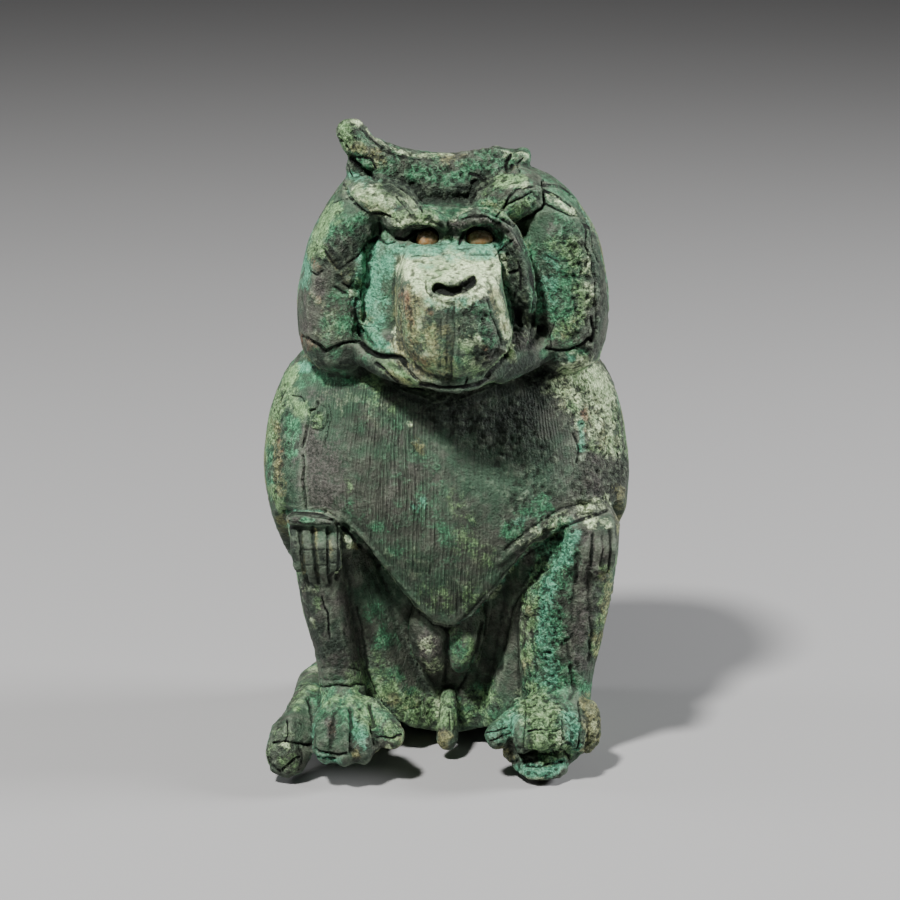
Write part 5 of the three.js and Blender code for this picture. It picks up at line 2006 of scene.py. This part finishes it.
    def thinned(self, piece: bpy.types.Object) -> None:
        """Brings the mesh under its limit, where it is flat first.

        Args:
            piece: the carved copy.
        """
        count = sum(len(face.vertices) - 2 for face in piece.data.polygons)
        thin = piece.modifiers.new("thin", "DECIMATE")
        thin.ratio = min(1.0, self.triangles / count)
        thin.use_collapse_triangulate = True
        applied(piece)
        LOG.info("thinned from %d to %d triangles", count, len(piece.data.polygons))

    def painted(self, piece: bpy.types.Object) -> None:
        """Stores the masks that the finish reads.

        Args:
            piece: the thinned copy.
        """
        piece.data.shade_smooth()
        skin = Skin(piece.data)
        normals = skin.normals()
        pixels, seen = skin.look(normals)
        seen = skin.spread(seen, 2)
        _, cracks = self.marks(skin, pixels, seen)
        masks = {kind.value: mask for kind, mask in self.masks(skin, pixels, seen, Patina).items()}
        # The fine rises and hollows, which the finish lightens and darkens as wear and dirt and as painted
        # highlight and shade.
        rise = skin.points - skin.spread(skin.points, 6)
        standing = np.einsum("ij,ij->i", rise, normals)
        standing -= skin.spread(standing, 10)
        masks["height"] = np.clip(0.5 + standing / self.relief, 0.0, 1.0)
        masks["crack"] = cracks
        masks["hair"] = self.mane.cover(skin, pixels, seen)
        masks["comb"] = self.mane.comb(skin.points)
        for name, values in masks.items():
            layer = piece.data.attributes.new(name, "FLOAT", "POINT")
            layer.data.foreach_set("value", values.astype(np.float32))


@dataclass
class Inlay:
    """An inlaid eye: a smooth domed stone set a little back in its socket, under its lid's shadow.

    Attributes:
        node: the solid that it replaces.
        share: its width, depth and height, as shares of that solid's.
        aside: how far it lies to the figure's left of that solid's middle.
        drop: how far it lies below it.
    """

    node: str
    share: tuple[float, float, float]
    aside: float
    drop: float = 0.6

    def build(self, finish: bpy.types.Material) -> bpy.types.Object:
        """Makes the stone over its solid.

        Args:
            finish: the stone's material.

        Returns:
            The finished object.
        """
        low, high = (Vector(corner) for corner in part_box(self.node))
        half = Vector([span * part / 2.0 for span, part in zip(high - low, self.share)])
        middle = (high + low) / 2.0
        middle.y = high.y - half.y
        middle.x += self.aside * MM
        middle.z -= self.drop * MM
        shell = bmesh.new()
        bmesh.ops.create_uvsphere(shell, u_segments=48, v_segments=32, radius=1.0)
        tops = [vert.co.z for vert in shell.verts]
        bmesh.ops.scale(shell, vec=half, verts=shell.verts)
        bmesh.ops.translate(shell, vec=middle, verts=shell.verts)
        mesh = bpy.data.meshes.new(self.node + "_stone")
        shell.to_mesh(mesh)
        shell.free()
        mesh.shade_smooth()
        layer = mesh.attributes.new("low", "FLOAT", "POINT")
        layer.data.foreach_set("value", [0.5 - top / 2.0 for top in tops])
        mesh.materials.append(finish)
        piece = bpy.data.objects.new(self.node + "_stone", mesh)
        bpy.context.scene.collection.objects.link(piece)
        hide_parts(self.node)
        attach(piece, "root")
        return piece


@dataclass(frozen=True)
class Lamp:
    """A soft light that looks at the figure.

    Attributes:
        name: what it is called.
        place_m: where it hangs.
        size_m: how wide its disk is.
        watts: how strong it is.
        tint: its colour.
        aim_m: the point that it faces.
    """

    name: str
    place_m: tuple[float, float, float]
    size_m: float
    watts: float
    tint: Colour
    aim_m: tuple[float, float, float] = (0.0, 0.0, 0.1)

    def build(self) -> bpy.types.Object:
        """Makes the light.

        Returns:
            The light's object.
        """
        data = bpy.data.lights.new(self.name, "AREA")
        data.shape = "DISK"
        data.size = self.size_m
        data.energy = self.watts
        data.color = self.tint
        lamp = bpy.data.objects.new(self.name, data)
        lamp.location = self.place_m
        lamp.rotation_mode = "QUATERNION"
        away = Vector(self.place_m) - Vector(self.aim_m)
        lamp.rotation_quaternion = away.to_track_quat("Z", "Y")
        bpy.context.scene.collection.objects.link(lamp)
        return lamp


@dataclass
class Studio:
    """A plain pale floor and plain soft light."""

    floor_m: float = 8.0
    sky: Colour = (0.62, 0.62, 0.64)
    sky_strength: float = 0.075
    lamps: tuple[Lamp, ...] = (
        Lamp("key", (-0.57, -0.74, 1.46), 0.20, 58.0, (1.0, 0.99, 0.965)),
        Lamp("side", (1.15, 0.05, 0.62), 0.40, 21.0, (0.98, 0.99, 1.0)),
        Lamp("left_rim", (-1.15, 0.25, 0.70), 0.40, 6.0, (0.98, 0.99, 1.0)),
    )
    finish: FloorFinish = field(default_factory=FloorFinish)

    def build(self) -> None:
        """Makes the floor, the lamps and the world's even light."""
        shell = bmesh.new()
        bmesh.ops.create_grid(shell, x_segments=2, y_segments=2, size=self.floor_m / 2.0)
        mesh = bpy.data.meshes.new("floor")
        shell.to_mesh(mesh)
        shell.free()
        mesh.materials.append(self.finish.build())
        floor = bpy.data.objects.new("floor", mesh)
        bpy.context.scene.collection.objects.link(floor)
        for lamp in self.lamps:
            lamp.build()
        world = bpy.data.worlds.new("even_light")
        world.use_nodes = True
        background = world.node_tree.nodes["Background"]
        background.inputs["Color"].default_value = (*self.sky, 1.0)
        background.inputs["Strength"].default_value = self.sky_strength
        bpy.context.scene.world = world


EYES = (Inlay("right_eye", (0.80, 0.9, 0.8), 0.8), Inlay("left_eye", (0.94, 0.9, 0.8), 0.2))


def main() -> None:
    """Builds the camera, the figure, its eyes and the studio."""
    logging.basicConfig(level=logging.INFO, format="%(message)s")
    started = time.monotonic()
    VIEW.place()
    casting = Casting().build()
    count = len(casting.data.polygons)
    LOG.info("%s: %d triangles after %.0f s", casting.name, count, time.monotonic() - started)
    stone = EyeFinish().build()
    for inlay in EYES:
        LOG.info("%s made", inlay.build(stone).name)
    Studio().build()


if __name__ == "__main__":
    main()
